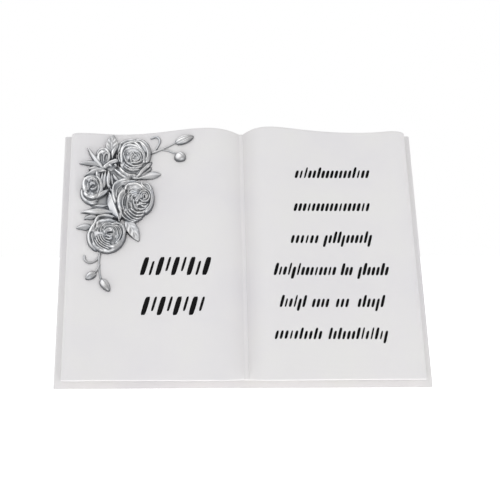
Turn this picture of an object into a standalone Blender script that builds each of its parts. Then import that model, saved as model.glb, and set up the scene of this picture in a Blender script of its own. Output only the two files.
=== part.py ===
"""Open book headstone: a white cast book on a wedge, with a silver rose spray on its upper left page.

Metres, +Z up. The book leans back, its pages face -Y, and the origin is on the ground under the middle of the
whole part. Two pieces: the book (covers, page block and wedge are one casting) and the rose spray.
"""

import math

import bmesh
import bpy
from mathutils import Matrix, Vector

for old in list(bpy.data.objects):
    bpy.data.objects.remove(old, do_unlink=True)

# ---------------------------------------------------------------- named sizes
MM = 0.001
LEAN = 27.0                 # degrees that the page plane leans back
BACK = -29.64                 # y of the covers' front face at the ground, mm
BOARD_HALF = 100.0          # half the covers' width
BOARD_TOP = 155.4           # covers' length up the slant
BOARD_THICK = 3.6
HINGE_X, HINGE_R = 15.5, 1.3    # grooves beside the spine
SPINE_X, SPINE_RISE = 12.5, 1.6     # raised spine panel
PAGE_TOP = 151.9            # page block's length up the slant
PAGE_SIDE = 95.9            # half the page block's width at the covers
TAIL_Z, TAIL_SLOPE = 4.2, 0.08      # the page tail is cut above the ground, rising to the front
GUTTER_X, GUTTER_HALF, GUTTER_H = 1.5, 1.1, 8.1
# hump, valley and crown of each page: place across and height over the covers
LEFT = {"hump": (-18.5, 15.5), "valley": (-66.0, 8.3), "crown": (-91.5, 10.2), "edge": (-95.5, 7.0), "rise": 2.3, "fall": 0.85, "lift": 1.0}
RIGHT = {"hump": (18.5, 16.7), "valley": (68.0, 9.9), "crown": (88.5, 11.7), "edge": (95.4, 8.0), "rise": 2.6, "fall": 0.72, "lift": 1.6}
WEDGE_HALF = 60.0           # half the wedge's width
WEDGE_FOOT = 64.0           # how far back the wedge stands, from the covers' front face
WEDGE_BACK_Z = 100.8        # top of the wedge's upright back
WEDGE_JOIN = 118.0          # where the wedge's top meets the covers, up the slant
GAP = 0.3                   # between the spray's back and the page

PETAL_THICK = 0.85

sin_t, cos_t = math.sin(math.radians(LEAN)), math.cos(math.radians(LEAN))


def place(x, s, h):
    """Millimetres across, up the slant and out from the covers' front face, to metres in the world."""
    return Vector((x, BACK + s * sin_t - h * cos_t, s * cos_t + h * sin_t)) * MM


def swing(x, xa, ha, xb, hb, power):
    q = min(1.0, max(0.0, (x - xa) / (xb - xa)))
    return ha + (hb - ha) * 0.5 * (1.0 - math.cos(math.pi * q ** power))


def page_height(x):
    """Height of the page's face over the covers, at x across."""
    if abs(x - GUTTER_X) <= GUTTER_HALF:
        return GUTTER_H
    side = LEFT if x < GUTTER_X else RIGHT
    sign = -1.0 if x < GUTTER_X else 1.0
    start = GUTTER_X + sign * GUTTER_HALF
    (xh, hh), (xv, hv), (xc, hc), (xe, he) = side["hump"], side["valley"], side["crown"], side["edge"]
    if sign * x < sign * xh:
        q = (x - start) / (xh - start)
        return GUTTER_H + (hh - GUTTER_H) * (1.0 - (1.0 - q) ** side["rise"])
    if sign * x < sign * xv:
        return swing(x, xh, hh, xv, hv, side["fall"])
    if sign * x < sign * xc:
        return swing(x, xv, hv, xc, hc, side["lift"])
    q = min(1.0, (x - xc) / (xe - xc))
    return he + (hc - he) * math.sqrt(max(0.0, 1.0 - q * q))


# ---------------------------------------------------------------- scene helpers
home = bpy.data.collections.new("open_book_headstone")
cutters = bpy.data.collections.new("cutters")
bpy.context.scene.collection.children.link(home)
bpy.context.scene.collection.children.link(cutters)


def file_in(obj, collection):
    for c in list(obj.users_collection):
        c.objects.unlink(obj)
    collection.objects.link(obj)
    return obj


def hide(obj):
    obj.hide_render = True
    obj.display_type = "WIRE"
    return file_in(obj, cutters)


def material(name, colour, rough, metal):
    m = bpy.data.materials.new(name)
    m.use_nodes = True
    b = next(n for n in m.node_tree.nodes if n.type == "BSDF_PRINCIPLED")
    b.inputs["Base Color"].default_value = (*colour, 1.0)
    b.inputs["Roughness"].default_value = rough
    b.inputs["Metallic"].default_value = metal
    return m


def flat_outline(name, points, half, matrix):
    """A flat outline (metres) filled and extruded by half its thickness each way, read as a closed mesh."""
    data = bpy.data.curves.new(name, "CURVE")
    data.dimensions = "2D"
    data.fill_mode = "BOTH"
    data.extrude = half
    line = data.splines.new("POLY")
    line.points.add(len(points) - 1)
    for p, (a, b) in zip(line.points, points):
        p.co = (a, b, 0.0, 1.0)
    line.use_cyclic_u = True
    guide = bpy.data.objects.new(name + "_outline", data)
    bpy.context.scene.collection.objects.link(guide)
    guide.matrix_world = matrix
    bpy.context.view_layer.update()
    mesh = bpy.data.meshes.new_from_object(guide.evaluated_get(bpy.context.evaluated_depsgraph_get()))
    bm = bmesh.new()
    bm.from_mesh(mesh)
    bmesh.ops.remove_doubles(bm, verts=bm.verts, dist=1e-6)
    bmesh.ops.recalc_face_normals(bm, faces=bm.faces)
    bm.to_mesh(mesh)
    bm.free()
    solid = bpy.data.objects.new(name, mesh)
    bpy.context.scene.collection.objects.link(solid)
    solid.matrix_world = guide.matrix_world.copy()
    bpy.data.objects.remove(guide, do_unlink=True)
    bpy.data.curves.remove(data)
    return solid


def box(name, size, matrix):
    bpy.ops.mesh.primitive_cube_add(size=1.0)
    obj = bpy.context.active_object
    obj.name = name
    obj.data.transform(Matrix.Diagonal((*size, 1.0)))
    obj.matrix_world = matrix
    return obj


def boolean(obj, other, operation):
    m = obj.modifiers.new(operation.lower(), "BOOLEAN")
    m.object, m.operation, m.solver = other, operation, "EXACT"
    return m


def arc(cx, cy, rx, ry, a0, a1, n):
    return [(cx + rx * math.cos(math.radians(a0 + (a1 - a0) * i / n)), cy + ry * math.sin(math.radians(a0 + (a1 - a0) * i / n))) for i in range(n + 1)]


# ---------------------------------------------------------------- book
# outlines across the book lie in x and h; their extrusion runs up the slant
across = Matrix.Translation(place(0.0, 0.0, 0.0)) @ Matrix.Rotation(math.radians(180.0 - LEAN), 4, "X")


def slant_matrix(s):
    return Matrix.Translation(place(0.0, s, 0.0)) @ Matrix.Rotation(math.radians(180.0 - LEAN), 4, "X")


def cover_outline():
    """Both covers and the spine in section: rounded outer edges, hinge grooves and a raised spine."""
    t, r = BOARD_THICK, 1.2
    right = arc(BOARD_HALF - r, -r, r, r, 90.0, 0.0, 4)
    right += arc(BOARD_HALF - r, -t + r, r, r, 0.0, -90.0, 4)
    right += arc(HINGE_X, -t, HINGE_R, HINGE_R, 0.0, 180.0, 6)
    right += [(SPINE_X * math.cos(math.radians(a)), -t - SPINE_RISE * math.sin(math.radians(a))) for a in (12.0, 30.0, 50.0, 70.0)]
    left = [(-x, y) for x, y in reversed(right)]
    return [(x * MM, y * MM) for x, y in right + [(0.0, -t - SPINE_RISE)] + left]


def page_outline():
    """The page block in section: fore edges, rounded crowns, valleys, humps and the gutter."""
    xs = []
    for side in (LEFT, RIGHT):
        xh, xv, xc, xe = (side[k][0] for k in ("hump", "valley", "crown", "edge"))
        start = GUTTER_X + (GUTTER_HALF if xh > 0 else -GUTTER_HALF)
        xs.append(start)
        xs += [start + (xh - start) * (i / 7.0) ** 1.25 for i in range(1, 8)]
        xs += [xh + (xv - xh) * i / 9.0 for i in range(1, 10)]
        xs += [xv + (xc - xv) * i / 5.0 for i in range(1, 6)]
        xs += [xc + (xe - xc) * math.sin(math.radians(a)) for a in (22.5, 45.0, 67.5, 90.0)]
    face = [(x, page_height(x)) for x in sorted(set(round(x, 4) for x in xs))]
    return [(x * MM, y * MM) for x, y in [(-PAGE_SIDE, -1.0)] + face + [(PAGE_SIDE, -1.0)]]


def wedge_outline():
    """The wedge in side view (y, z): a flat foot, an upright back and a top square to the covers."""
    def yz(s, h):
        return (BACK + s * sin_t - h * cos_t, s * cos_t + h * sin_t)
    foot, top = BACK + WEDGE_FOOT, (BACK + WEDGE_FOOT - 2.0, WEDGE_BACK_Z)
    join = yz(WEDGE_JOIN, -0.5 * BOARD_THICK)
    inner = [yz(-8.0, -0.5 * BOARD_THICK)]
    corner = [(top[0] - 0.9, top[1] + 1.9), (top[0] - 0.1, top[1] + 0.9), (top[0] + 0.05, top[1] - 0.6)]
    return [(y * MM, z * MM) for y, z in inner + [(foot + 0.16, -8.0)] + [(foot, 0.0)] + list(reversed(corner)) + [join]]


half_board = 0.5 * (BOARD_TOP + 10.0)
book = flat_outline("book", cover_outline(), half_board * MM, slant_matrix(BOARD_TOP - half_board))
m = book.modifiers.new("rounded ends", "BEVEL")
m.width, m.segments, m.limit_method, m.angle_limit = 0.0008, 2, "ANGLE", math.radians(60.0)

half_page = 0.5 * (PAGE_TOP + 20.0)
pages = flat_outline("page_block", page_outline(), half_page * MM, slant_matrix(PAGE_TOP - half_page))
tail_turn = math.atan(TAIL_SLOPE)
tail_at = Vector((0.0, BACK + TAIL_Z * sin_t / cos_t, TAIL_Z)) * MM
tail = box("tail_cutter", (0.30, 0.20, 0.06), Matrix.Translation(tail_at) @ Matrix.Rotation(-tail_turn, 4, "X") @ Matrix.Translation((0.0, 0.0, -0.03)))
boolean(pages, tail, "DIFFERENCE")

wedge = flat_outline("wedge", wedge_outline(), WEDGE_HALF * MM,
                     Matrix(((0.0, 0.0, 1.0, 0.0), (1.0, 0.0, 0.0, 0.0), (0.0, 1.0, 0.0, 0.0), (0.0, 0.0, 0.0, 1.0))))
m = wedge.modifiers.new("rounded sides", "BEVEL")
m.width, m.segments, m.limit_method, m.angle_limit = 0.004, 3, "ANGLE", math.radians(75.0)

ground = box("ground_cutter", (0.40, 0.40, 0.06), Matrix.Translation((0.0, 0.02, -0.03)))
boolean(book, pages, "UNION")
boolean(book, wedge, "UNION")
boolean(book, ground, "DIFFERENCE")
for cutter in (pages, tail, wedge, ground):
    hide(cutter)
file_in(book, home)
book.data.materials.clear()
book.data.materials.append(material("white_cast", (0.80, 0.79, 0.79), 0.42, 0.0))

# ---------------------------------------------------------------- rose spray
# The spray is made lying flat: x across the page, s up the page, k height above the page (millimetres), and is
# laid on the curved page at the end.

SPIN = 1.0


def wave(n, a=12.9898, b=78.233):
    """A repeatable value between -1 and 1 for a whole number."""
    v = math.sin(n * a + b) * 43758.5453
    return 2.0 * (v - math.floor(v)) - 1.0


def ease(a, b, x):
    t = min(1.0, max(0.0, (x - a) / (b - a)))
    return t * t * (3.0 - 2.0 * t)


def sheet(bm, nu, nv, place):
    """A grid whose points are set by place(u, v), u from -1 to 1 across and v from 0 to 1 along."""
    made = bmesh.ops.create_grid(bm, x_segments=nu, y_segments=nv, size=1.0)
    for p in made["verts"]:
        p.co = place(p.co.x, 0.5 * (p.co.y + 1.0))


def slab(bm, nu, nv, place):
    """The same grid as a closed block: place(u, v, w) has w 0 on its face and 1 on its underside."""
    made = bmesh.ops.create_grid(bm, x_segments=nu, y_segments=nv, size=1.0)
    face = list({f for p in made["verts"] for f in p.link_faces})
    under = bmesh.ops.extrude_face_region(bm, geom=face)
    low = {p for p in under["geom"] if isinstance(p, bmesh.types.BMVert)}
    for p in set(made["verts"]) | low:
        p.co = place(p.co.x, 0.5 * (p.co.y + 1.0), 1.0 if p in low else 0.0)


def dome_height(top, f):
    return top * (1.0 - 0.76 * f ** 1.5)


def rose(bm, r, step):
    """Overlapping petals in rings whose centres drift from the rose's middle to its swirl, and a rolled bud."""
    cx, cs = r["at"]
    wx, ws = r["swirl"]
    R, top, sx, ss = r["radius"], r["top"], r.get("sx", 1.0), r.get("ss", 1.0)
    lean = math.radians(r.get("lean", 0.0))

    def out(f, phi, rho, z):
        # ring centre at fraction f of the radius, then the ellipse and its lean
        k = 1.0 - f
        mx, ms = cx + (wx - cx) * k, cs + (ws - cs) * k
        a, b = rho * math.cos(phi) * sx, rho * math.sin(phi) * ss
        return Vector((mx + a * math.cos(lean) - b * math.sin(lean), ms + a * math.sin(lean) + b * math.cos(lean), z))

    for j, (f, count, first, tip, flare) in enumerate(r["rings"]):
        half = math.pi / count * 1.22
        for i in range(count):
            seed = 17 * j + 5 * i + r["seed"]
            mid = math.radians(first) + 2.0 * math.pi * i / count + 0.10 * wave(seed)
            size = R * f * (1.0 + 0.045 * wave(seed + 3))
            rim = dome_height(top, f) + 0.20 * wave(seed + 7)
            wide = half * (1.0 + 0.08 * wave(seed + 11))
            point = tip * (0.7 + 0.3 * wave(seed + 13))
            deep = 2.3 if f > 0.3 else 2.0
            ground = max(0.1, rim - deep)

            def place(u, v, f=f, mid=mid, size=size, rim=rim, wide=wide, point=point, flare=flare, ground=ground, seed=seed):
                rho = size * (1.0 + 0.055 * SPIN * u - 0.13 * u ** 4 + point * math.exp(-(u / 0.22) ** 2) + 0.012 * math.sin(5.0 * u + seed))
                edge = rim * (1.0 - 0.10 * u * u - 0.10 * u ** 4)
                start = max(0.25, rho - flare - 0.55)
                w = v / 0.84
                if w <= 1.0:
                    rr = start + (rho - 0.35 - start) * w ** 1.25
                    zz = ground + (edge - ground) * math.sin(0.5 * math.pi * w) ** 0.95
                else:
                    a = (w - 1.0) / (1.0 / 0.84 - 1.0) * math.radians(118.0)
                    rr = rho - 0.35 + 0.42 * math.sin(a)
                    zz = edge - 0.34 * (1.0 - math.cos(a))
                return out(f, mid + wide * u, rr, zz)

            sheet(bm, max(5, int(2.0 * wide * size / step)), max(5, int((flare + 2.6) / step)), place)

    # the bud: one strip rolled into a spiral
    fb = r["bud"]
    turns = r.get("turns", 2.3)
    a0 = math.radians(r.get("bud_first", 0.0))

    def roll(u, v):
        q = 0.5 * (u + 1.0)
        ang = a0 + SPIN * turns * 2.0 * math.pi * q
        rho = R * fb * (0.16 + 0.84 * q)
        z = top * (1.0 - 0.05 * q) - 2.6 * (1.0 - v) - 0.12 * math.cos(2.0 * ang)
        return out(fb, ang, rho + 0.16 * v * v, z)

    sheet(bm, max(16, int(turns * 2.0 * math.pi * R * fb * 0.6 / step)), max(4, int(2.6 / step)), roll)


def rose_core(bm, r, grid):
    """The dome that carries the petals, kept under their rims."""
    cx, cs = r["at"]
    wx, ws = r["swirl"]
    R, top = r["radius"], r["top"]
    lean = math.radians(r.get("lean", 0.0))
    made = bmesh.ops.create_uvsphere(bm, u_segments=grid, v_segments=grid // 2, radius=1.0)
    for p in made["verts"]:
        f = min(1.0, math.hypot(p.co.x, p.co.y))
        phi = math.atan2(p.co.y, p.co.x)
        k = 1.0 - f
        rho = R * 0.90 * f
        a, b = rho * math.cos(phi) * r.get("sx", 1.0), rho * math.sin(phi) * r.get("ss", 1.0)
        x = cx + (wx - cx) * k + a * math.cos(lean) - b * math.sin(lean)
        s = cs + (ws - cs) * k + a * math.sin(lean) + b * math.cos(lean)
        z = dome_height(top, f) - 1.75 if p.co.z > 0.0 else -1.2
        p.co = (x, s, max(z, -1.2) if p.co.z > 0.0 else -1.2)


def leaf(bm, d, step):
    """A pointed blade with a folded middle, side veins and a toothed edge."""
    (x0, s0), (x1, s1), width, lift = d["base"], d["tip"], d["width"], d["lift"]
    along = Vector((x1 - x0, s1 - s0, 0.0))
    length = along.length
    along /= length
    side = Vector((-along.y, along.x, 0.0))
    fold, arch, bend, veins = d.get("fold", 0.5), d.get("arch", 0.8), d.get("bend", 0.0), d.get("veins", 0)
    fat, teeth = d.get("fat", 0.75), d.get("teeth", 0.0)

    tuck, floor = d.get("tuck", 0.72), d.get("floor", -1.0)

    def place(u, v, under):
        w = 0.5 * width * (math.sin(math.pi * min(1.0, v) ** fat) ** 0.85 * 0.97 + 0.03)
        w *= 1.0 + teeth * abs(u) ** 3 * math.sin(v * length * 2.6)
        k = lift + arch * math.sin(math.pi * v) - fold * abs(u) ** 1.3 * (1.0 - 0.3 * v) - 0.35 * v
        if veins:
            k += 0.16 * math.sin(2.0 * math.pi * veins * (v - 0.22 * abs(u))) * (1.0 - (2.0 * abs(u) - 1.0) ** 2) ** 0.5 * math.sin(math.pi * v)
            k += 0.22 * math.exp(-(u * 0.5 * width / 0.35) ** 2)
        if under:
            w, v, k = w * tuck, 0.5 + (v - 0.5) * (0.5 + 0.5 * tuck), floor
        p = Vector((x0, s0, 0.0)) + along * (length * v) + side * (u * w + bend * math.sin(math.pi * v))
        return Vector((p.x, p.y, k))

    slab(bm, max(6, int(width / step)), max(8, int(length / step)), place)


def bud(bm, d, grid):
    """An egg shaped bud lying on the page, pointed at its tip, with petal seams."""
    (x0, s0), (x1, s1), width, high = d["base"], d["tip"], d["width"], d["high"]
    along = Vector((x1 - x0, s1 - s0, 0.0))
    length = along.length
    along /= length
    side = Vector((-along.y, along.x, 0.0))
    mid = Vector((0.5 * (x0 + x1), 0.5 * (s0 + s1), d.get("lift", 0.4)))
    made = bmesh.ops.create_uvsphere(bm, u_segments=grid, v_segments=grid, radius=1.0)
    for p in made["verts"]:
        t = p.co.z                       # -1 at the base, 1 at the tip
        ring = math.hypot(p.co.x, p.co.y)
        phi = math.atan2(p.co.y, p.co.x)
        body = ring * (1.0 - 0.16 * t) * (1.0 - 0.20 * max(0.0, t) ** 3)
        seam = 1.0 + d.get("seam", 0.07) * math.sin(d.get("seams", 3) * phi + 2.2 * t + d.get("turn", 0.0)) * ring
        a = 0.5 * width * body * seam * math.cos(phi)
        b = high * body * seam * math.sin(phi)
        q = mid + along * (0.5 * length * t) + side * a
        p.co = (q.x, q.y, q.z + b)


# Each rose: middle and swirl on the page, radius, height, and rings of petals as
# (fraction of the radius, petals, first angle, point of the rim, visible depth of the petal).
ROSES = [
    {"at": (-60.1, 134.9), "swirl": (-58.4, 133.6), "radius": 10.0, "sx": 0.95, "ss": 1.17, "top": 7.2, "seed": 1, "bud": 0.27, "bud_first": 200.0,
     "rings": [(1.00, 5, -58.0, 0.10, 1.5), (0.84, 5, 20.0, 0.05, 1.3), (0.68, 4, -40.0, 0.03, 1.2), (0.53, 4, 10.0, 0.02, 1.1), (0.39, 3, 70.0, 0.0, 0.9)]},
    {"at": (-59.4, 107.7), "swirl": (-55.6, 106.3), "radius": 11.3, "sx": 0.97, "ss": 1.17, "top": 8.2, "seed": 4, "bud": 0.25, "bud_first": 40.0,
     "rings": [(1.00, 5, 75.0, 0.07, 1.5), (0.86, 5, 30.0, 0.04, 1.4), (0.71, 5, -10.0, 0.03, 1.2), (0.56, 4, 40.0, 0.02, 1.1), (0.40, 3, 10.0, 0.0, 1.0)]},
    {"at": (-73.4, 86.6), "swirl": (-71.9, 85.2), "radius": 10.9, "sx": 0.98, "ss": 1.03, "top": 7.6, "seed": 9, "bud": 0.25, "bud_first": 120.0,
     "rings": [(1.00, 5, 100.0, 0.05, 1.6), (0.85, 5, 52.0, 0.03, 1.3), (0.70, 4, -70.0, 0.02, 1.2), (0.55, 4, -20.0, 0.02, 1.1), (0.40, 3, 30.0, 0.0, 1.0)]},
    {"at": (-82.4, 116.4), "swirl": (-82.1, 118.4), "radius": 6.4, "sx": 0.98, "ss": 1.55, "top": 6.0, "seed": 14, "bud": 0.30, "bud_first": 90.0,
     "rings": [(1.00, 3, 90.0, 0.03, 1.4), (0.78, 3, 30.0, 0.0, 1.2), (0.55, 3, 100.0, 0.0, 1.0)]},
]

LEAVES = [
    {"base": (-72.3, 137.2), "tip": (-71.2, 150.2), "width": 7.0, "lift": 2.2, "fold": 0.5, "arch": 0.7, "veins": 4, "teeth": 0.05},
    {"base": (-75.8, 128.6), "tip": (-85.7, 142.0), "width": 2.6, "lift": 2.4, "fold": 0.7, "arch": 0.5},
    {"base": (-75.8, 128.2), "tip": (-89.6, 131.6), "width": 3.8, "lift": 2.4, "fold": 0.7, "arch": 0.5, "bend": -0.5},
    {"base": (-75.8, 127.6), "tip": (-87.2, 125.4), "width": 3.2, "lift": 2.6, "fold": 0.6, "arch": 0.6, "bend": -0.8},
    {"base": (-58.0, 122.4), "tip": (-44.6, 125.3), "width": 5.6, "lift": 2.2, "fold": 0.6, "arch": 0.6},
    {"base": (-72.6, 118.0), "tip": (-66.9, 94.8), "width": 5.6, "lift": 3.6, "fold": 1.2, "arch": 1.0, "fat": 0.9},
    {"base": (-70.0, 101.2), "tip": (-88.2, 100.0), "width": 6.0, "lift": 2.4, "fold": 0.8, "arch": 1.0},
    {"base": (-80.5, 91.4), "tip": (-90.2, 90.4), "width": 4.6, "lift": 1.8, "fold": 0.6, "arch": 0.5},
    {"base": (-64.5, 93.0), "tip": (-55.8, 82.9), "width": 6.2, "lift": 2.0, "fold": 0.5, "arch": 0.6, "veins": 4, "teeth": 0.05},
    {"base": (-72.4, 114.0), "tip": (-81.4, 106.6), "width": 5.4, "lift": 3.0, "fold": 0.9, "arch": 0.6},
    {"base": (-74.2, 128.5), "tip": (-74.9, 112.6), "width": 2.6, "lift": 3.2, "fold": 0.5, "arch": 0.4},
    {"base": (-71.6, 128.5), "tip": (-71.2, 114.0), "width": 2.4, "lift": 3.6, "fold": 0.5, "arch": 0.4},
    {"base": (-75.6, 127.6), "tip": (-78.6, 112.6), "width": 2.8, "lift": 3.0, "fold": 0.5, "arch": 0.4},
    {"base": (-74.9, 74.6), "tip": (-69.0, 66.2), "width": 5.2, "lift": 1.6, "fold": 0.4, "arch": 0.5, "veins": 3},
]

BUDS = [
    {"base": (-75.6, 130.4), "tip": (-76.9, 141.9), "width": 8.6, "high": 4.4, "lift": 0.6, "seams": 2, "seam": 0.10},
    {"base": (-36.0, 143.0), "tip": (-25.6, 145.8), "width": 5.6, "high": 2.7, "lift": 0.3, "seams": 2, "seam": 0.12, "turn": 0.8},
    {"base": (-35.9, 135.2), "tip": (-30.4, 131.0), "width": 6.2, "high": 3.0, "lift": 0.3, "seams": 2, "seam": 0.10},
    {"base": (-76.4, 59.9), "tip": (-70.6, 51.4), "width": 5.4, "high": 2.8, "lift": 0.3, "seams": 2, "seam": 0.08, "turn": 2.0},
    {"base": (-78.4, 63.4), "tip": (-84.6, 58.6), "width": 4.8, "high": 2.4, "lift": 0.3, "seams": 2, "seam": 0.08, "turn": 1.0},
]

# Stems and tendrils: points on the page, height, radius at the start and at the end.
STEMS = [
    {"path": [(-53.0, 136.4), (-49.9, 137.6), (-43.1, 140.0), (-35.0, 143.3)], "k": 0.9, "r": (0.95, 0.65)},
    {"path": [(-44.5, 139.7), (-40.0, 138.3), (-35.4, 135.6)], "k": 0.8, "r": (0.65, 0.65)},
    {"path": [(-49.0, 137.8), (-46.2, 141.4), (-44.8, 145.6), (-46.6, 148.3), (-49.6, 147.9)], "k": 0.8, "r": (0.70, 0.95)},
    {"path": [(-76.4, 78.0), (-77.2, 72.0), (-77.0, 65.0), (-76.2, 59.5)], "k": 0.9, "r": (0.90, 0.70)},
    {"path": [(-77.0, 67.9), (-78.0, 65.2), (-79.4, 62.9)], "k": 0.8, "r": (0.60, 0.65)},
    {"path": [(-76.6, 74.4), (-79.0, 70.4), (-82.4, 68.8), (-84.8, 70.4), (-85.2, 72.6)], "k": 0.8, "r": (0.65, 0.95)},
    {"path": [(-66.0, 131.0), (-72.6, 129.8), (-76.2, 126.0), (-79.0, 121.0)], "k": 2.2, "r": (1.20, 0.90)},
]

# Low mounds that carry the leaves between the roses: middle, radii, height.
MOUNDS = [((-73.5, 121.5), (7.0, 11.0), 2.2), ((-72.0, 101.5), (8.5, 9.0), 2.0), ((-64.5, 121.3), (8.5, 6.5), 2.0), ((-72.6, 129.7), (3.2, 3.2), 3.4),
          ((-71.5, 134.5), (4.5, 6.5), 1.8), ((-77.0, 126.5), (4.0, 5.0), 2.0)]


def tube(path, height, radii, smooth):
    """A stem: a curve with a bevel and filled caps, read as a mesh with its caps welded."""
    data = bpy.data.curves.new("stem_path", "CURVE")
    data.dimensions = "3D"
    data.bevel_depth = 1.0
    data.bevel_resolution = smooth
    data.use_fill_caps = True
    data.resolution_u = 3 * smooth
    line = data.splines.new("BEZIER")
    line.bezier_points.add(len(path) - 1)
    for i, (x, s) in enumerate(path):
        p = line.bezier_points[i]
        p.co = (x, s, height)
        p.handle_left_type = p.handle_right_type = "AUTO"
        q = i / (len(path) - 1)
        p.radius = radii[0] + (radii[1] - radii[0]) * q
    guide = bpy.data.objects.new("stem_path", data)
    bpy.context.scene.collection.objects.link(guide)
    bpy.context.view_layer.update()
    mesh = bpy.data.meshes.new_from_object(guide.evaluated_get(bpy.context.evaluated_depsgraph_get()))
    bpy.data.objects.remove(guide, do_unlink=True)
    bpy.data.curves.remove(data)
    return mesh


def object_from(bm, name):
    mesh = bpy.data.meshes.new(name)
    bm.to_mesh(mesh)
    bm.free()
    obj = bpy.data.objects.new(name, mesh)
    bpy.context.scene.collection.objects.link(obj)
    return obj


def baked(obj):
    """Puts the result of the object's modifiers in its mesh."""
    bpy.context.view_layer.update()
    mesh = bpy.data.meshes.new_from_object(obj.evaluated_get(bpy.context.evaluated_depsgraph_get()))
    old = obj.data
    obj.modifiers.clear()
    obj.data = mesh
    bpy.data.meshes.remove(old)
    return obj


def spray_body(step, grid, voxel):
    """Every petal, leaf, bud, stem and mound as one closed body, lying flat (millimetres)."""
    petals = bmesh.new()
    for r in ROSES:
        rose(petals, r, step)
    thin = object_from(petals, "petals")
    m = thin.modifiers.new("thickness", "SOLIDIFY")
    m.thickness, m.offset, m.use_even_offset = PETAL_THICK, 0.0, False
    baked(thin)

    whole = bmesh.new()
    whole.from_mesh(thin.data)
    for r in ROSES:
        rose_core(whole, r, grid)
    for d in BUDS:
        bud(whole, d, grid)
    for d in LEAVES:
        leaf(whole, d, step)
    for (mx, ms), (rx, rs), high in MOUNDS:
        bmesh.ops.create_uvsphere(whole, u_segments=grid, v_segments=grid // 2, radius=1.0,
                                  matrix=Matrix.Translation((mx, ms, 0.0)) @ Matrix.Diagonal((rx, rs, high, 1.0)))
    for d in STEMS:
        mesh = tube(d["path"], d["k"], d["r"], 3)
        whole.from_mesh(mesh)
        bpy.data.meshes.remove(mesh)
    bmesh.ops.remove_doubles(whole, verts=whole.verts, dist=1e-5)
    old = thin.data
    bpy.data.objects.remove(thin, do_unlink=True)
    bpy.data.meshes.remove(old)
    body = object_from(whole, "spray_body")
    m = body.modifiers.new("fuse", "REMESH")
    m.mode, m.voxel_size, m.adaptivity = "VOXEL", voxel, 0.0
    baked(body)
    return body


def largest_body(obj):
    """Drops every loose body but the largest."""
    bm = bmesh.new()
    bm.from_mesh(obj.data)
    left = set(bm.verts)
    groups = []
    while left:
        start = left.pop()
        group, todo = [start], [start]
        while todo:
            for e in todo.pop().link_edges:
                for p in e.verts:
                    if p in left:
                        left.remove(p)
                        group.append(p)
                        todo.append(p)
        groups.append(group)
    groups.sort(key=len, reverse=True)
    for g in groups[1:]:
        bmesh.ops.delete(bm, geom=g, context="VERTS")
    bm.to_mesh(obj.data)
    bm.free()
    return len(groups)


def mended(obj, rounds=8):
    """Removes faces around edges or points where the surface pinches, and closes the small holes."""
    for _ in range(rounds):
        bm = bmesh.new()
        bm.from_mesh(obj.data)
        bmesh.ops.remove_doubles(bm, verts=bm.verts, dist=0.012)
        bmesh.ops.triangulate(bm, faces=bm.faces)
        bmesh.ops.dissolve_degenerate(bm, dist=0.02, edges=bm.edges)
        bmesh.ops.triangulate(bm, faces=bm.faces)
        bad = {p for e in bm.edges if len(e.link_faces) != 2 for p in e.verts} | {p for p in bm.verts if not p.is_manifold}
        if not bad:
            bmesh.ops.recalc_face_normals(bm, faces=bm.faces)
            bm.to_mesh(obj.data)
            bm.free()
            return 0
        bmesh.ops.delete(bm, geom=list(bad), context="VERTS")
        rim = [e for e in bm.edges if len(e.link_faces) == 1]
        filled = bmesh.ops.holes_fill(bm, edges=rim, sides=0)
        bmesh.ops.triangulate(bm, faces=filled["faces"])
        bmesh.ops.delete(bm, geom=[p for p in bm.verts if not p.link_faces], context="VERTS")
        bm.to_mesh(obj.data)
        bm.free()
    return len(bad)


# the spray is cut flat below in strips, so that its back can follow the page
STRIP = 2.5
spray = spray_body(0.55, 20, 0.42)
pieces = largest_body(spray)
m = spray.modifiers.new("coarser", "DECIMATE")
m.ratio = 6200 / max(1, 2 * len(spray.data.polygons))
baked(spray)
mended(spray)

slab = bmesh.new()
bmesh.ops.create_cube(slab, size=1.0, matrix=Matrix.Translation((-58.0, 100.0, GAP - 5.0)) @ Matrix.Diagonal((76.0, 120.0, 10.0, 1.0)))
for i in range(1, int(76.0 / STRIP)):
    bmesh.ops.bisect_plane(slab, geom=slab.verts[:] + slab.edges[:] + slab.faces[:], plane_co=(-96.0 + STRIP * i, 0.0, 0.0), plane_no=(1.0, 0.0, 0.0))
under = hide(object_from(slab, "spray_cutter"))
boolean(spray, under, "DIFFERENCE")
baked(spray)
largest_body(spray)
mended(spray)
bm = bmesh.new()
bm.from_mesh(spray.data)
for p in bm.verts:
    p.co = place(p.co.x, p.co.y, page_height(p.co.x) + p.co.z)
bmesh.ops.recalc_face_normals(bm, faces=bm.faces)
bm.to_mesh(spray.data)
bm.free()
bpy.data.objects.remove(under, do_unlink=True)
spray.name = "rose_spray"
spray.data.name = "rose_spray"
file_in(spray, home)
spray.data.materials.clear()
spray.data.materials.append(material("silver_finish", (0.66, 0.66, 0.67), 0.30, 1.0))
for obj in (book, spray):
    obj.data.shade_smooth()
    obj.data.set_sharp_from_angle(angle=math.radians(40.0))
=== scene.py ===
"""Looks of the open book headstone: a white cast book with shallow black strokes on its pages and a silver rose
spray on the upper left page. Metres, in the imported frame; lengths in the named sizes are millimetres."""

import math

import bmesh
import bpy
import numpy as np
from mathutils import Matrix, Quaternion, Vector, noise


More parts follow.
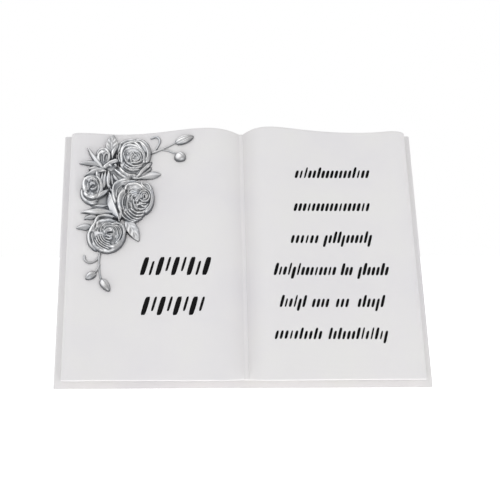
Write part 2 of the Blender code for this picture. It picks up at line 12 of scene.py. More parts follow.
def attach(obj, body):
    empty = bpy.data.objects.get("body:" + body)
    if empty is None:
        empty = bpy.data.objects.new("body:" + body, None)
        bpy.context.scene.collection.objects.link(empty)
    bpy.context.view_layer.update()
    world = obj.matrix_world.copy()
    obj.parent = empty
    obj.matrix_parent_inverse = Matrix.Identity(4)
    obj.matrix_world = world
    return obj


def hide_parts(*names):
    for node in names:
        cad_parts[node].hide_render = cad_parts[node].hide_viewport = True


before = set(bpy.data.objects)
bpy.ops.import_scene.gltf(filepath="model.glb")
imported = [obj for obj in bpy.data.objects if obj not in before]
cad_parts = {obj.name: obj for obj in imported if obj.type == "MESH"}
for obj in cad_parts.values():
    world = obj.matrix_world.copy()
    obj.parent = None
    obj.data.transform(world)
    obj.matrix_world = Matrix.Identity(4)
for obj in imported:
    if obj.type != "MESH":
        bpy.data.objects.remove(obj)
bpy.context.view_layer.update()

# ---------------------------------------------------------------- named sizes, as in the solids
MM = 0.001
LEAN = 27.0                 # degrees that the page plane leans back
BACK = -29.64               # y of the covers' front face at the ground
BOARD_HALF = 100.0
BOARD_TOP = 155.4
BOARD_THICK = 3.6
HINGE_X, HINGE_R = 15.5, 1.3
SPINE_X, SPINE_RISE = 12.5, 1.6
PAGE_TOP = 151.9
PAGE_SIDE = 95.9
TAIL_Z, TAIL_SLOPE = 4.2, 0.08
GUTTER_X, GUTTER_HALF, GUTTER_H = 1.5, 1.1, 8.1
LEFT = {"hump": (-18.5, 15.5), "valley": (-66.0, 8.3), "crown": (-91.5, 10.2), "edge": (-95.5, 7.0), "rise": 2.3, "fall": 0.85, "lift": 1.0}
RIGHT = {"hump": (18.5, 16.7), "valley": (68.0, 9.9), "crown": (88.5, 11.7), "edge": (95.4, 8.0), "rise": 2.6, "fall": 0.72, "lift": 1.6}
WEDGE_HALF = 60.0
WEDGE_FOOT = 64.0
WEDGE_BACK_Z = 100.8
WEDGE_JOIN = 118.0
GAP = 0.3

sin_t, cos_t = math.sin(math.radians(LEAN)), math.cos(math.radians(LEAN))


def place(x, s, h):
    """Millimetres across, up the slant and out from the covers' front face, to metres in the world."""
    return Vector((x, BACK + s * sin_t - h * cos_t, s * cos_t + h * sin_t)) * MM


def swing(x, xa, ha, xb, hb, power):
    q = min(1.0, max(0.0, (x - xa) / (xb - xa)))
    return ha + (hb - ha) * 0.5 * (1.0 - math.cos(math.pi * q ** power))


def page_height(x):
    """Height of the page's face over the covers, at x across."""
    if abs(x - GUTTER_X) <= GUTTER_HALF:
        return GUTTER_H
    side = LEFT if x < GUTTER_X else RIGHT
    sign = -1.0 if x < GUTTER_X else 1.0
    start = GUTTER_X + sign * GUTTER_HALF
    (xh, hh), (xv, hv), (xc, hc), (xe, he) = side["hump"], side["valley"], side["crown"], side["edge"]
    if sign * x < sign * xh:
        q = (x - start) / (xh - start)
        return GUTTER_H + (hh - GUTTER_H) * (1.0 - (1.0 - q) ** side["rise"])
    if sign * x < sign * xv:
        return swing(x, xh, hh, xv, hv, side["fall"])
    if sign * x < sign * xc:
        return swing(x, xv, hv, xc, hc, side["lift"])
    q = min(1.0, (x - xc) / (xe - xc))
    return he + (hc - he) * math.sqrt(max(0.0, 1.0 - q * q))


# ---------------------------------------------------------------- mesh helpers
def object_from(bm, name):
    mesh = bpy.data.meshes.new(name)
    bm.to_mesh(mesh)
    bm.free()
    obj = bpy.data.objects.new(name, mesh)
    bpy.context.scene.collection.objects.link(obj)
    return obj


def drop(obj):
    data = obj.data
    bpy.data.objects.remove(obj, do_unlink=True)
    if data.users == 0:
        bpy.data.meshes.remove(data)


def baked(obj):
    """Puts the result of the object's modifiers in its mesh."""
    bpy.context.view_layer.update()
    mesh = bpy.data.meshes.new_from_object(obj.evaluated_get(bpy.context.evaluated_depsgraph_get()))
    old = obj.data
    obj.modifiers.clear()
    obj.data = mesh
    bpy.data.meshes.remove(old)
    return obj


def boolean(obj, other, operation, solver="MANIFOLD"):
    m = obj.modifiers.new(operation.lower(), "BOOLEAN")
    m.object, m.operation, m.solver = other, operation, solver
    return m


def flat_outline(name, points, half, matrix):
    """A flat outline (metres) filled and extruded by half its thickness each way, read as a closed mesh."""
    data = bpy.data.curves.new(name, "CURVE")
    data.dimensions = "2D"
    data.fill_mode = "BOTH"
    data.extrude = half
    line = data.splines.new("POLY")
    line.points.add(len(points) - 1)
    for p, (a, b) in zip(line.points, points):
        p.co = (a, b, 0.0, 1.0)
    line.use_cyclic_u = True
    guide = bpy.data.objects.new(name + "_outline", data)
    bpy.context.scene.collection.objects.link(guide)
    guide.matrix_world = matrix
    bpy.context.view_layer.update()
    mesh = bpy.data.meshes.new_from_object(guide.evaluated_get(bpy.context.evaluated_depsgraph_get()))
    bm = bmesh.new()
    bm.from_mesh(mesh)
    bpy.data.meshes.remove(mesh)
    bmesh.ops.remove_doubles(bm, verts=bm.verts, dist=1e-6)
    bmesh.ops.transform(bm, matrix=matrix, verts=bm.verts)
    bmesh.ops.recalc_face_normals(bm, faces=bm.faces)
    bpy.data.objects.remove(guide, do_unlink=True)
    bpy.data.curves.remove(data)
    return object_from(bm, name)


def arc(cx, cy, rx, ry, a0, a1, n):
    return [(cx + rx * math.cos(math.radians(a0 + (a1 - a0) * i / n)), cy + ry * math.sin(math.radians(a0 + (a1 - a0) * i / n))) for i in range(n + 1)]


def slant_matrix(s):
    return Matrix.Translation(place(0.0, s, 0.0)) @ Matrix.Rotation(math.radians(180.0 - LEAN), 4, "X")


# ---------------------------------------------------------------- book
PAGE_LINES = 9              # bands of leaves that show on the cut edges
LINE_DEEP = 0.22


def face_columns():
    """Places across the page block, closer together where the face curves most."""
    xs = [LEFT["edge"][0]]
    (xc, _), (xe, _) = LEFT["crown"], LEFT["edge"]
    xs += [xc + (xe - xc) * math.sin(math.radians(a)) for a in (80, 70, 60, 50, 40, 30, 20, 10)]
    x = xc
    while x < GUTTER_X - GUTTER_HALF - 0.2:
        xs.append(x)
        near = min(abs(x - GUTTER_X), abs(x - xc) + 3.0)
        x += 0.45 if near < 6.0 else 0.8 if near < 24.0 else 1.15
    xs += [GUTTER_X + GUTTER_HALF * q for q in (-1.0, -0.5, 0.0, 0.5, 1.0)]
    (xc, _), (xe, _) = RIGHT["crown"], RIGHT["edge"]
    x = GUTTER_X + GUTTER_HALF + 0.3
    while x < xc - 0.3:
        xs.append(x)
        near = min(abs(x - GUTTER_X), abs(x - xc) + 3.0)
        x += 0.45 if near < 6.0 else 0.8 if near < 24.0 else 1.15
    xs += [xc + (xe - xc) * math.sin(math.radians(a)) for a in (0, 10, 20, 30, 40, 50, 60, 70, 80, 90)]
    return xs


def soft(x, s):
    """The slight unevenness of a cast face, in millimetres."""
    n = 0.055 * noise.noise((x / 21.0, s / 34.0, 3.1)) + 0.020 * noise.noise((x / 7.0, s / 11.0, 8.4))
    low = max(0.0, 1.0 - s / 26.0)
    n += 0.012 * low * math.exp(-((x - 46.0) / 34.0) ** 2) * math.sin(s * 2.1 + 0.7 * math.sin(x / 19.0))
    return n


def page_block():
    """The page block as one closed grid: a curved face, cut edges with fine lines of leaves, and softened rims."""
    xs = face_columns()
    n = len(xs)
    r_head, r_tail = 0.6, 0.5
    slope = (TAIL_SLOPE * cos_t - sin_t) / (cos_t + TAIL_SLOPE * sin_t)
    tail0 = TAIL_Z / cos_t
    along = Vector((-slope, -1.0)).normalized()         # down the tail cut, towards the covers, in (s, h)
    turn = math.acos(along.x)                           # angle between the face and the tail cut
    reach = r_tail / math.tan(0.5 * turn)

    # stations up the face, from the tail's rim to the head's rim
    step, w = [], 0.0
    while w < 140.0:
        step.append(w)
        w += 0.55 if w < 18.0 else 1.1
    span = w
    stations = [v / span for v in step] + [1.0]
    tail_arc = [math.radians(a) for a in (202.0, 185.0, 168.0, 150.0, 132.0, 112.0)]
    head_arc = [math.radians(a) for a in (72.0, 54.0, 36.0)]
    low_arc = [math.radians(a) for a in (18.0, 0.0)]

    def section(i):
        """Rim of the block in (s, h) at column i: tail row, face row and head row, sharing their corners."""
        hf = page_height(xs[i])
        corner = Vector((tail0 + slope * hf, hf))
        centre = corner + (Vector((1.0, 0.0)) + along).normalized() * (r_tail / math.sin(0.5 * turn))
        face = [(centre.x + r_tail * math.cos(a), centre.y + r_tail * math.sin(a)) for a in tail_arc]
        s0, s1 = corner.x + reach, PAGE_TOP - r_head
        face += [(s0 + (s1 - s0) * q, hf) for q in stations]
        face += [(s1 + r_head * math.cos(a), hf - r_head + r_head * math.sin(a)) for a in head_arc]
        return hf, face

    # rows down the cut edges: 1 at the rim, 0 under the covers' face
    per = 5
    rows = [1.0 - q / (PAGE_LINES * per) for q in range(PAGE_LINES * per + 1)]

    def line(t):
        """Depth of the fine lines between the bands of leaves."""
        q = (t * PAGE_LINES) % 1.0
        return LINE_DEEP * (1.0 - min(1.0, 2.6 * min(q, 1.0 - q)) ** 0.7) if 0.004 < t < 0.996 else 0.0

    bm = bmesh.new()
    made = {}

    def vert(i, j, k, x, s, h):
        key = (i, j, k)
        if key not in made:
            made[key] = bm.verts.new(place(x, s, h))
        return made[key]

    sections = [section(i) for i in range(n)]
    K = len(sections[0][1]) - 1
    J = len(rows) - 1
    face_h = [[p[1] for p in sec[1]] for sec in sections]

    def wide(i, t):
        return xs[i] * (1.0 + 0.0042 * (1.0 - t)) if i in (0, n - 1) else xs[i]

    for i in range(n):
        hf, face = sections[i]
        for k, (s, h) in enumerate(face):
            lift = soft(xs[i], s) * min(1.0, 0.4 * min(k, K - k)) * min(1.0, 0.25 * min(i, n - 1 - i)) if 4 < k < K - 3 else 0.0
            vert(i, 0, k, xs[i], s, h + lift)
    for end in (0, K):
        for i in range(n):
            s_rim, h_rim = sections[i][1][end]
            edge = i in (0, n - 1)
            for j in range(1, J + 1):
                t = rows[j]
                h = -1.0 + (h_rim + 1.0) * t
                deep = 0.0 if j == J else line(t)
                if end == 0:
                    s = s_rim + (tail0 + slope * h - (tail0 + slope * h_rim)) + deep * 0.9
                    if j <= 2:
                        s -= 0.0
                else:
                    s = PAGE_TOP - deep
                    if j == 1:
                        s = PAGE_TOP - 0.02
                x = wide(i, t)
                if edge:
                    x -= math.copysign(deep, x)
                vert(i, j, end, x, s, h)
    for i in (0, n - 1):
        top = sections[i][1]
        for j in range(1, J + 1):
            t = rows[j]
            a, b = made[(i, j, 0)].co, made[(i, j, K)].co
            sa = (a.z / MM - (-1.0 + (top[0][1] + 1.0) * t) * sin_t) / cos_t
            sb = (b.z / MM - (-1.0 + (top[K][1] + 1.0) * t) * sin_t) / cos_t
            ha, hb = -1.0 + (top[0][1] + 1.0) * t, -1.0 + (top[K][1] + 1.0) * t
            for k in range(1, K):
                q = (top[k][0] - top[0][0]) / (top[K][0] - top[0][0])
                rim = top[k][1]
                h = (-1.0 + (rim + 1.0) * t)
                deep = 0.0 if j == J else line(t)
                x = wide(i, t) - math.copysign(deep, xs[i])
                vert(i, j, k, x, sa + (sb - sa) * q, h)

    def quad(a, b, c, d):
        bm.faces.new((made[a], made[b], made[c], made[d]))

    for i in range(n - 1):
        for k in range(K):
            quad((i, 0, k), (i + 1, 0, k), (i + 1, 0, k + 1), (i, 0, k + 1))
        for j in range(J):
            quad((i, j, 0), (i, j + 1, 0), (i + 1, j + 1, 0), (i + 1, j, 0))
            quad((i, j, K), (i + 1, j, K), (i + 1, j + 1, K), (i, j + 1, K))
    for j in range(J):
        for k in range(K):
            quad((0, j, k), (0, j, k + 1), (0, j + 1, k + 1), (0, j + 1, k))
            quad((n - 1, j, k), (n - 1, j + 1, k), (n - 1, j + 1, k + 1), (n - 1, j, k + 1))
    under = [(i, J, 0) for i in range(n)] + [(n - 1, J, k) for k in range(1, K + 1)]
    under += [(i, J, K) for i in range(n - 2, -1, -1)] + [(0, J, k) for k in range(K - 1, 0, -1)]
    bm.faces.new([made[q] for q in under])
    bmesh.ops.recalc_face_normals(bm, faces=bm.faces)
    return object_from(bm, "page_block")


def cover_outline():
    """Both covers and the spine in section: rounded outer edges, hinge grooves and a raised spine."""
    t, r = BOARD_THICK, 1.2
    right = arc(BOARD_HALF - r, -r, r, r, 90.0, 0.0, 8)
    right += arc(BOARD_HALF - r, -t + r, r, r, 0.0, -90.0, 8)
    right += arc(HINGE_X, -t, HINGE_R, HINGE_R, 0.0, 180.0, 14)
    right += [(SPINE_X * math.cos(math.radians(a)), -t - SPINE_RISE * math.sin(math.radians(a))) for a in range(6, 90, 6)]
    left = [(-x, y) for x, y in reversed(right)]
    return [(x * MM, y * MM) for x, y in right + [(0.0, -t - SPINE_RISE)] + left]


def wedge_outline():
    """The wedge in side view (y, z): a flat foot, an upright back and a top square to the covers."""
    def yz(s, h):
        return (BACK + s * sin_t - h * cos_t, s * cos_t + h * sin_t)
    foot, top = BACK + WEDGE_FOOT, (BACK + WEDGE_FOOT - 2.0, WEDGE_BACK_Z)
    join = yz(WEDGE_JOIN, -0.5 * BOARD_THICK)
    inner = [yz(-8.0, -0.5 * BOARD_THICK)]
    corner = [(top[0] - 0.9, top[1] + 1.9), (top[0] - 0.1, top[1] + 0.9), (top[0] + 0.05, top[1] - 0.6)]
    return [(y * MM, z * MM) for y, z in inner + [(foot + 0.16, -8.0)] + [(foot, 0.0)] + list(reversed(corner)) + [join]]


def make_book():
    half_board = 0.5 * (BOARD_TOP + 10.0)
    covers = flat_outline("covers", cover_outline(), half_board * MM, slant_matrix(BOARD_TOP - half_board))
    m = covers.modifiers.new("rounded ends", "BEVEL")
    m.width, m.segments, m.limit_method, m.angle_limit = 0.0008, 4, "ANGLE", math.radians(60.0)
    baked(covers)
    pages = page_block()
    wedge = flat_outline("wedge", wedge_outline(), WEDGE_HALF * MM,
                         Matrix(((0.0, 0.0, 1.0, 0.0), (1.0, 0.0, 0.0, 0.0), (0.0, 1.0, 0.0, 0.0), (0.0, 0.0, 0.0, 1.0))))
    m = wedge.modifiers.new("rounded sides", "BEVEL")
    m.width, m.segments, m.limit_method, m.angle_limit = 0.004, 8, "ANGLE", math.radians(75.0)
    baked(wedge)
    floor_box = bmesh.new()
    bmesh.ops.create_cube(floor_box, size=1.0, matrix=Matrix.Translation((0.0, 0.02, -0.03)) @ Matrix.Diagonal((0.40, 0.40, 0.06, 1.0)))
    ground = object_from(floor_box, "ground")
    boolean(covers, pages, "UNION")
    boolean(covers, wedge, "UNION")
    boolean(covers, ground, "DIFFERENCE")
    baked(covers)
    for other in (pages, wedge, ground):
        drop(other)
    bm = bmesh.new()
    bm.from_mesh(covers.data)
    bmesh.ops.remove_doubles(bm, verts=bm.verts, dist=4e-6)
    bmesh.ops.dissolve_degenerate(bm, dist=4e-6, edges=bm.edges)
    bmesh.ops.triangulate(bm, faces=[f for f in bm.faces if len(f.verts) > 4])
    bm.to_mesh(covers.data)
    bm.free()
    covers.name = covers.data.name = "book_casting"
    covers.data.shade_smooth()
    covers.data.set_sharp_from_angle(angle=math.radians(38.0))
    return covers
# ---------------------------------------------------------------- strokes
# Rows of slanted plain bars on the pages. Each row: its groups' left and right ends on the base line, the base line
# across the curved page, and the heights of its short and tall bars.
ROWS = [
    {"spans": [(-54.0, -20.4)], "base": [(-54.4, 61.9), (-44.8, 61.1), (-35.2, 60.0), (-25.7, 59.1), (-16.2, 58.7)], "short": 10.5, "tall": 10.5, "heavy": 2.85, "pitch": 4.1, "seed": 3},
    {"spans": [(-53.2, -23.4)], "base": [(-54.1, 38.3), (-45.4, 37.6), (-36.8, 36.7), (-28.2, 35.9), (-19.6, 35.3)], "short": 10.4, "tall": 10.4, "heavy": 2.9, "pitch": 4.1, "seed": 8},
    {"spans": [(31.3, 71.6)], "base": [(30.3, 119.0), (41.3, 120.3), (52.3, 121.2), (63.3, 121.7), (74.2, 121.7)], "short": 4.9, "tall": 7.0, "heavy": 1.6, "pitch": 2.50, "seed": 12},
    {"spans": [(29.8, 70.4)], "base": [(29.4, 97.9), (40.3, 99.1), (51.2, 100.0), (62.0, 100.5), (72.7, 100.5)], "short": 4.9, "tall": 4.9, "heavy": 1.65, "pitch": 2.50, "seed": 21},
    {"spans": [(27.3, 40.7), (45.8, 70.4)], "base": [(26.4, 77.8), (37.6, 78.9), (48.9, 79.9), (60.2, 80.5), (71.4, 80.6)], "short": 4.9, "tall": 7.2, "heavy": 1.55, "pitch": 2.50, "seed": 29},
    {"spans": [(17.4, 49.4), (54.0, 58.6), (63.6, 78.0)], "base": [(16.9, 58.0), (32.8, 59.1), (49.0, 60.5), (65.0, 61.1), (80.7, 60.7)], "short": 4.9, "tall": 7.2, "heavy": 1.62, "pitch": 2.50, "seed": 43},
    {"spans": [(19.9, 32.0), (37.2, 44.6), (50.2, 55.4), (62.1, 74.4)], "base": [(18.9, 39.3), (33.1, 40.3), (47.4, 41.5), (61.6, 42.1), (75.6, 42.0)], "short": 4.9, "tall": 7.0, "heavy": 1.48, "pitch": 2.50, "seed": 43},
    {"spans": [(16.6, 39.8), (45.2, 75.0)], "base": [(16.7, 21.0), (31.8, 21.8), (47.1, 23.0), (62.4, 23.6), (77.4, 23.4)], "short": 4.7, "tall": 6.6, "heavy": 1.45, "pitch": 2.50, "seed": 51},
]
SLANT = 0.27                # lean of the strokes, across per unit up
STROKE_DEEP, STROKE_PROUD = 0.25, 0.10


def wave(n, a=12.9898, b=78.233):
    """A repeatable value between -1 and 1 for a whole number."""
    v = math.sin(n * a + b) * 43758.5453
    return 2.0 * (v - math.floor(v)) - 1.0


def stroke(bm, x, s0, s1, wide, swell, nib):
    """One slanted bar from s0 up to s1, fuller in the middle, cut square at its ends, standing just proud of the page."""
    n = max(4, int((s1 - s0) / 0.8))
    rows = []
    for side in (-1.0, 1.0):
        line = []
        for q in range(n + 1):
            v = q / n
            s = s0 + (s1 - s0) * v
            half = 0.5 * wide * (1.0 - swell + swell * math.sin(math.pi * (0.12 + 0.76 * v)))
            half *= 1.0 - nib * (abs(2.0 * v - 1.0) ** 9)
            line.append((x + SLANT * (s - s0) + side * half, s))
        rows.append(line)
    ring = rows[0] + rows[1][::-1]
    top, side_, low = [], [], []
    cx = sum(p[0] for p in ring) / len(ring)
    for px, ps in ring:
        middle = cx + SLANT * (ps - 0.5 * (s0 + s1))
        tx = px + (middle - px) * min(0.35, 0.10 / max(0.2, abs(px - middle)))
        top.append(bm.verts.new(place(tx, ps, page_height(tx) + STROKE_PROUD)))
        side_.append(bm.verts.new(place(px, ps, page_height(px) + STROKE_PROUD * 0.45)))
        low.append(bm.verts.new(place(px, ps, page_height(px) - STROKE_DEEP)))
    m = len(ring)
    for a, b in ((top, side_), (side_, low)):
        for i in range(m):
            j = (i + 1) % m
            bm.faces.new((a[i], a[j], b[j], b[i]))
    for i in range(n):
        j = m - 1 - i
        bm.faces.new((top[i], top[i + 1], top[j - 1], top[j]))
        bm.faces.new((low[i], low[j], low[j - 1], low[i + 1]))


def make_strokes():
    bm = bmesh.new()
    for row in ROWS:
        big = row["heavy"] > 2.2
        count = 0
        for x0, x1 in row["spans"]:
            places = max(2, round((x1 - x0) / row["pitch"]) + 1)
            for i in range(places):
                seed = row["seed"] * 31 + count
                pick = wave(seed)
                thin = i % 2 == 1 if big else (pick > 0.62 and 0 < i < places - 1)
                wide = row["heavy"] * ((0.50 if big else 0.66) if thin else 1.0 + 0.07 * wave(seed + 5))
                x = x0 + (x1 - x0) * i / (places - 1)
                level = float(np.interp(x, *zip(*row["base"])))
                base, top = level, level + row["short"]
                if big:
                    if thin:
                        top -= 0.22 * row["short"] if pick > 0.0 else 0.0
                        base += 0.22 * row["short"] if pick <= 0.0 else 0.0
                elif row["tall"] > row["short"]:
                    if wave(seed + 9) > 0.50:
                        top = level + row["tall"]
                    elif wave(seed + 9) < -0.86:
                        base -= 2.3
                stroke(bm, x + SLANT * (base - level), base, top, wide, 0.18, 0.30)
                count += 1
    bmesh.ops.recalc_face_normals(bm, faces=bm.faces)
    obj = object_from(bm, "inscription_strokes")
    obj.data.shade_smooth()
    obj.data.set_sharp_from_angle(angle=math.radians(50.0))
    return obj


# ---------------------------------------------------------------- rose spray
# The spray is worked as a relief on a fine grid lying flat: x across the page, s up the page, k height above the page
# (millimetres). Petal rims, leaves, buds and stems raise the grid, creases cut it, and it is laid on the page at the end.

SPRAY_X, SPRAY_S = (-94.0, -22.0), (46.0, 153.0)
BED = -1.6
LIP_WIDE, WALL, WALL_WIDE = 0.48, 2.4, 0.56
HOLLOW = 1.9


def step(a, b, x):
    t = np.clip((x - a) / (b - a), 0.0, 1.0)
    return t * t * (3.0 - 2.0 * t)


def through(points, per=6):
    """Points along a smooth curve through the given ones."""
    p = np.array(points, float)
    q = np.vstack([2 * p[:1] - p[1:2], p, 2 * p[-1:] - p[-2:-1]])
    out = []
    for i in range(1, len(q) - 2):
        a, b, c, d = q[i - 1:i + 3]
        for j in range(per):
            t = j / per
            out.append(0.5 * (2 * b + (c - a) * t + (2 * a - 5 * b + 4 * c - d) * t * t + (3 * b - a - 3 * c + d) * t ** 3))
    return np.array(out + [q[-2]])


class Relief:
    def __init__(self, cell):
        self.cell = cell
        self.x, self.s = np.arange(*SPRAY_X, cell), np.arange(*SPRAY_S, cell)
        self.X, self.S = np.meshgrid(self.x, self.s)
        self.H = np.full(self.X.shape, BED)

    def window(self, line, reach):
        lo, hi = line.min(0) - reach, line.max(0) + reach
        c = [min(len(self.x), max(0, int((v - SPRAY_X[0]) / self.cell))) for v in (lo[0], hi[0])]
        r = [min(len(self.s), max(0, int((v - SPRAY_S[0]) / self.cell))) for v in (lo[1], hi[1])]
        return slice(*r), slice(*c)

    def near(self, line, reach):
        """The window round a line, and in it the distance to the line, its side, the place along it and the foot."""
        w = self.window(line, reach)
        X, S = self.X[w], self.S[w]
        long = np.hypot(*(line[1:] - line[:-1]).T)
        run = np.concatenate([[0.0], np.cumsum(long)])
        best = np.full(X.shape, 1e9)
        t, side, fx, fs = (np.zeros(X.shape) for _ in range(4))
        for i in range(len(long)):
            ax, ay = line[i]
            bx, by = line[i + 1] - line[i]
            q = np.clip(((X - ax) * bx + (S - ay) * by) / (long[i] ** 2 + 1e-12), 0.0, 1.0)
            px, ps = ax + q * bx, ay + q * by
            d = (X - px) ** 2 + (S - ps) ** 2
            m = d < best
            best = np.where(m, d, best)
            t = np.where(m, (run[i] + q * long[i]) / run[-1], t)
            fx, fs = np.where(m, px, fx), np.where(m, ps, fs)
            side = np.where(m, np.sign(bx * (S - ay) - by * (X - ax)), side)
        return w, np.sqrt(best), side, t, fx, fs

    def lift(self, w, h):
        self.H[w] = np.maximum(self.H[w], h)


def bloom(r, x, s):
    """How far out in a rose a point lies, 0 at its swirl and 1 at its edge, and the height of its dome there."""
    f = np.full(np.shape(x), 0.5)
    for _ in range(8):
        mx = r["at"][0] + (r["swirl"][0] - r["at"][0]) * (1.0 - f)
        ms = r["at"][1] + (r["swirl"][1] - r["at"][1]) * (1.0 - f)
        f = np.minimum(1.2, np.hypot((x - mx) / (r["radius"] * r["sx"]), (s - ms) / (r["radius"] * r["ss"])))
    return f, r["top"] * (1.0 - 0.64 * f ** 1.6)


def petal(g, r, raised, slope, reach, points):
    """A petal seen by its rim: a thin lip, a gentle hollow towards the rose's swirl and a steep drop outside."""
    line = through(points)
    cx, cs = r["swirl"]
    broad = reach >= 2.75
    if broad:                                   # the outermost petals' rims are rolled in from the outline
        way = np.array([[cx, cs]]) - line
        line = line + 0.95 * way / np.hypot(*way.T)[:, None]
    w, d, side, t, fx, fs = g.near(line, reach + 1.5)
    X, S = g.X[w], g.S[w]
    inner = np.hypot(X - cx, S - cs) < np.hypot(fx - cx, fs - cs)
    end = np.abs(2.0 * t - 1.0)
    crest = np.maximum(0.9, bloom(r, fx, fs)[1]) + raised - 0.9 * end ** 6 + 0.10 * np.sin(9.0 * t + 5.0 * raised + fx)
    width = reach * np.sqrt(np.maximum(0.0, 1.0 - end ** 4)) + 0.15
    fine = reach < 2.2
    lip, lip_wide, wall_wide = (0.95, LIP_WIDE, WALL_WIDE) if fine else (0.35, 0.70, 1.20) if broad else (0.80, 0.85, 1.25)
    inside = lip * step(0.0, lip_wide, d) + slope * d + 3.0 * np.maximum(0.0, d - width)
    if fine:
        outside = WALL * step(0.0, wall_wide, d) + 4.0 * np.maximum(0.0, d - wall_wide)
    else:                                       # a wide rolled rim
        outside = 0.9 * d ** 2 + 4.0 * np.maximum(0.0, d - wall_wide)
    g.lift(w, crest - np.where(inner, inside, outside) - 0.35 * np.minimum(1.0, (d / 0.30)) ** 2 * 0.3)


def rose(g, r, petals):
    line = np.array([r["at"], r["swirl"]])
    w = g.window(line, 1.25 * r["radius"] + 1.0)
    f, high = bloom(r, g.X[w], g.S[w])
    g.lift(w, high - HOLLOW - 14.0 * np.maximum(0.0, f - 0.84))
    for raised, slope, reach, points in petals:
        petal(g, r, raised, slope, reach, points)


def leaf(g, section, wide, top, keel, points, fat=1.0, veins=0, shift=0.0):
    line = through(points, 8)
    w, d, side, t, fx, fs = g.near(line, 0.6 * wide + 1.5)
    half = 0.5 * wide * (0.05 + 0.95 * np.sin(math.pi * np.clip(t, 0.02, 1.0) ** fat) ** 0.8)
    u = side * d / half
    v = np.abs(u - shift * (1.0 - np.abs(u)).clip(0.0, 1.0))
    arch = top * (0.72 + 0.28 * np.sin(math.pi * np.clip(t + 0.1, 0.0, 1.0)))
    if section == "keel":
        h = arch - keel * v ** 1.15
    else:
        h = arch - keel * (1.0 - v) ** 2 - 0.35 * v ** 2
    if veins:
        run = np.sin(2.0 * math.pi * veins * (t - 0.22 * np.abs(u)))
        h = h + 0.20 * run * np.clip(1.0 - (2.0 * np.abs(u) - 1.0) ** 2, 0.0, 1.0) * np.sin(math.pi * t) + 0.30 * np.exp(-(d / 0.28) ** 2)
    over = np.maximum(0.0, d - half)
    g.lift(w, h - 2.2 * step(0.0, 0.45, over) - 6.0 * np.maximum(0.0, over - 0.45))


def drop_of(g, at, radius, top):
    line = np.array([at, at], float)
    w = g.window(line, radius + 1.0)
    d = np.hypot(g.X[w] - at[0], g.S[w] - at[1])
    g.lift(w, top - radius + radius * np.sqrt(np.clip(1.0 - (d / radius) ** 2, 0.0, 1.0)) - 8.0 * np.maximum(0.0, d - radius))


def bud(g, d):
    """An egg shaped bud lying on the page, pointed at its tip, with petal seams."""
    (x0, s0), (x1, s1) = d["base"], d["tip"]
    long = math.hypot(x1 - x0, s1 - s0)
    ax, ay = (x1 - x0) / long, (s1 - s0) / long
    line = np.array([d["base"], d["tip"]])
    w = g.window(line, 0.6 * d["width"] + 1.0)
    X, S = g.X[w] - 0.5 * (x0 + x1), g.S[w] - 0.5 * (s0 + s1)
    t, q = (X * ax + S * ay) / (0.5 * long), (S * ax - X * ay)
    half = 0.5 * d["width"] * (1.0 - 0.16 * t - 0.20 * np.maximum(0.0, t) ** 3)
    e = np.sqrt(np.clip(1.0 - t ** 2, 0.0, 1.0))
    u = q / np.maximum(0.05, half * e)
    m = t ** 2 + (q / np.maximum(0.1, half)) ** 2
    h = d["lift"] + d["high"] * np.sqrt(np.clip(1.0 - m, 0.0, 1.0)) - 5.0 * np.maximum(0.0, m - 1.0)
    for seam, deep in d["seams"]:
        h = h - deep * np.exp(-((u - seam * (1.0 - 0.5 * t)) * half / 0.35) ** 2) * (m < 1.0)
    g.lift(w, h)


def stem(g, points, k, radii):
    line = through(points, 8)
    w, d, side, t, fx, fs = g.near(line, 2.5)
    r = radii[0] + (radii[1] - radii[0]) * t
    g.lift(w, k + r * np.sqrt(np.clip(1.0 - (d / r) ** 2, 0.0, 1.0)) - 8.0 * np.maximum(0.0, d - r))


def crease(g, points, deep, wide):
    """A groove, or a bead where deep is negative."""
    line = through(points)
    w, d, side, t, fx, fs = g.near(line, 3.0 * wide)
    g.H[w] -= deep * np.exp(-(d / wide) ** 2) * np.minimum(1.0, 6.0 * np.minimum(t, 1.0 - t) + 0.15)


# Each rose: middle and swirl on the page, radius with its two stretches, and the height of its dome.
ROSES = {
    "A": {"at": (-60.1, 134.9), "swirl": (-58.4, 133.6), "radius": 10.0, "sx": 0.95, "ss": 1.17, "top": 7.2},
    "B": {"at": (-59.4, 107.7), "swirl": (-55.6, 106.3), "radius": 11.3, "sx": 0.97, "ss": 1.17, "top": 8.2},
    "C": {"at": (-73.4, 86.6), "swirl": (-71.9, 85.2), "radius": 10.9, "sx": 0.98, "ss": 1.03, "top": 7.6},
    "E": {"at": (-76.0, 134.6), "swirl": (-76.2, 135.6), "radius": 5.6, "sx": 0.74, "ss": 1.22, "top": 5.2},
    "D": {"at": (-82.2, 115.2), "swirl": (-82.1, 118.4), "radius": 6.9, "sx": 0.95, "ss": 1.52, "top": 6.0},
}

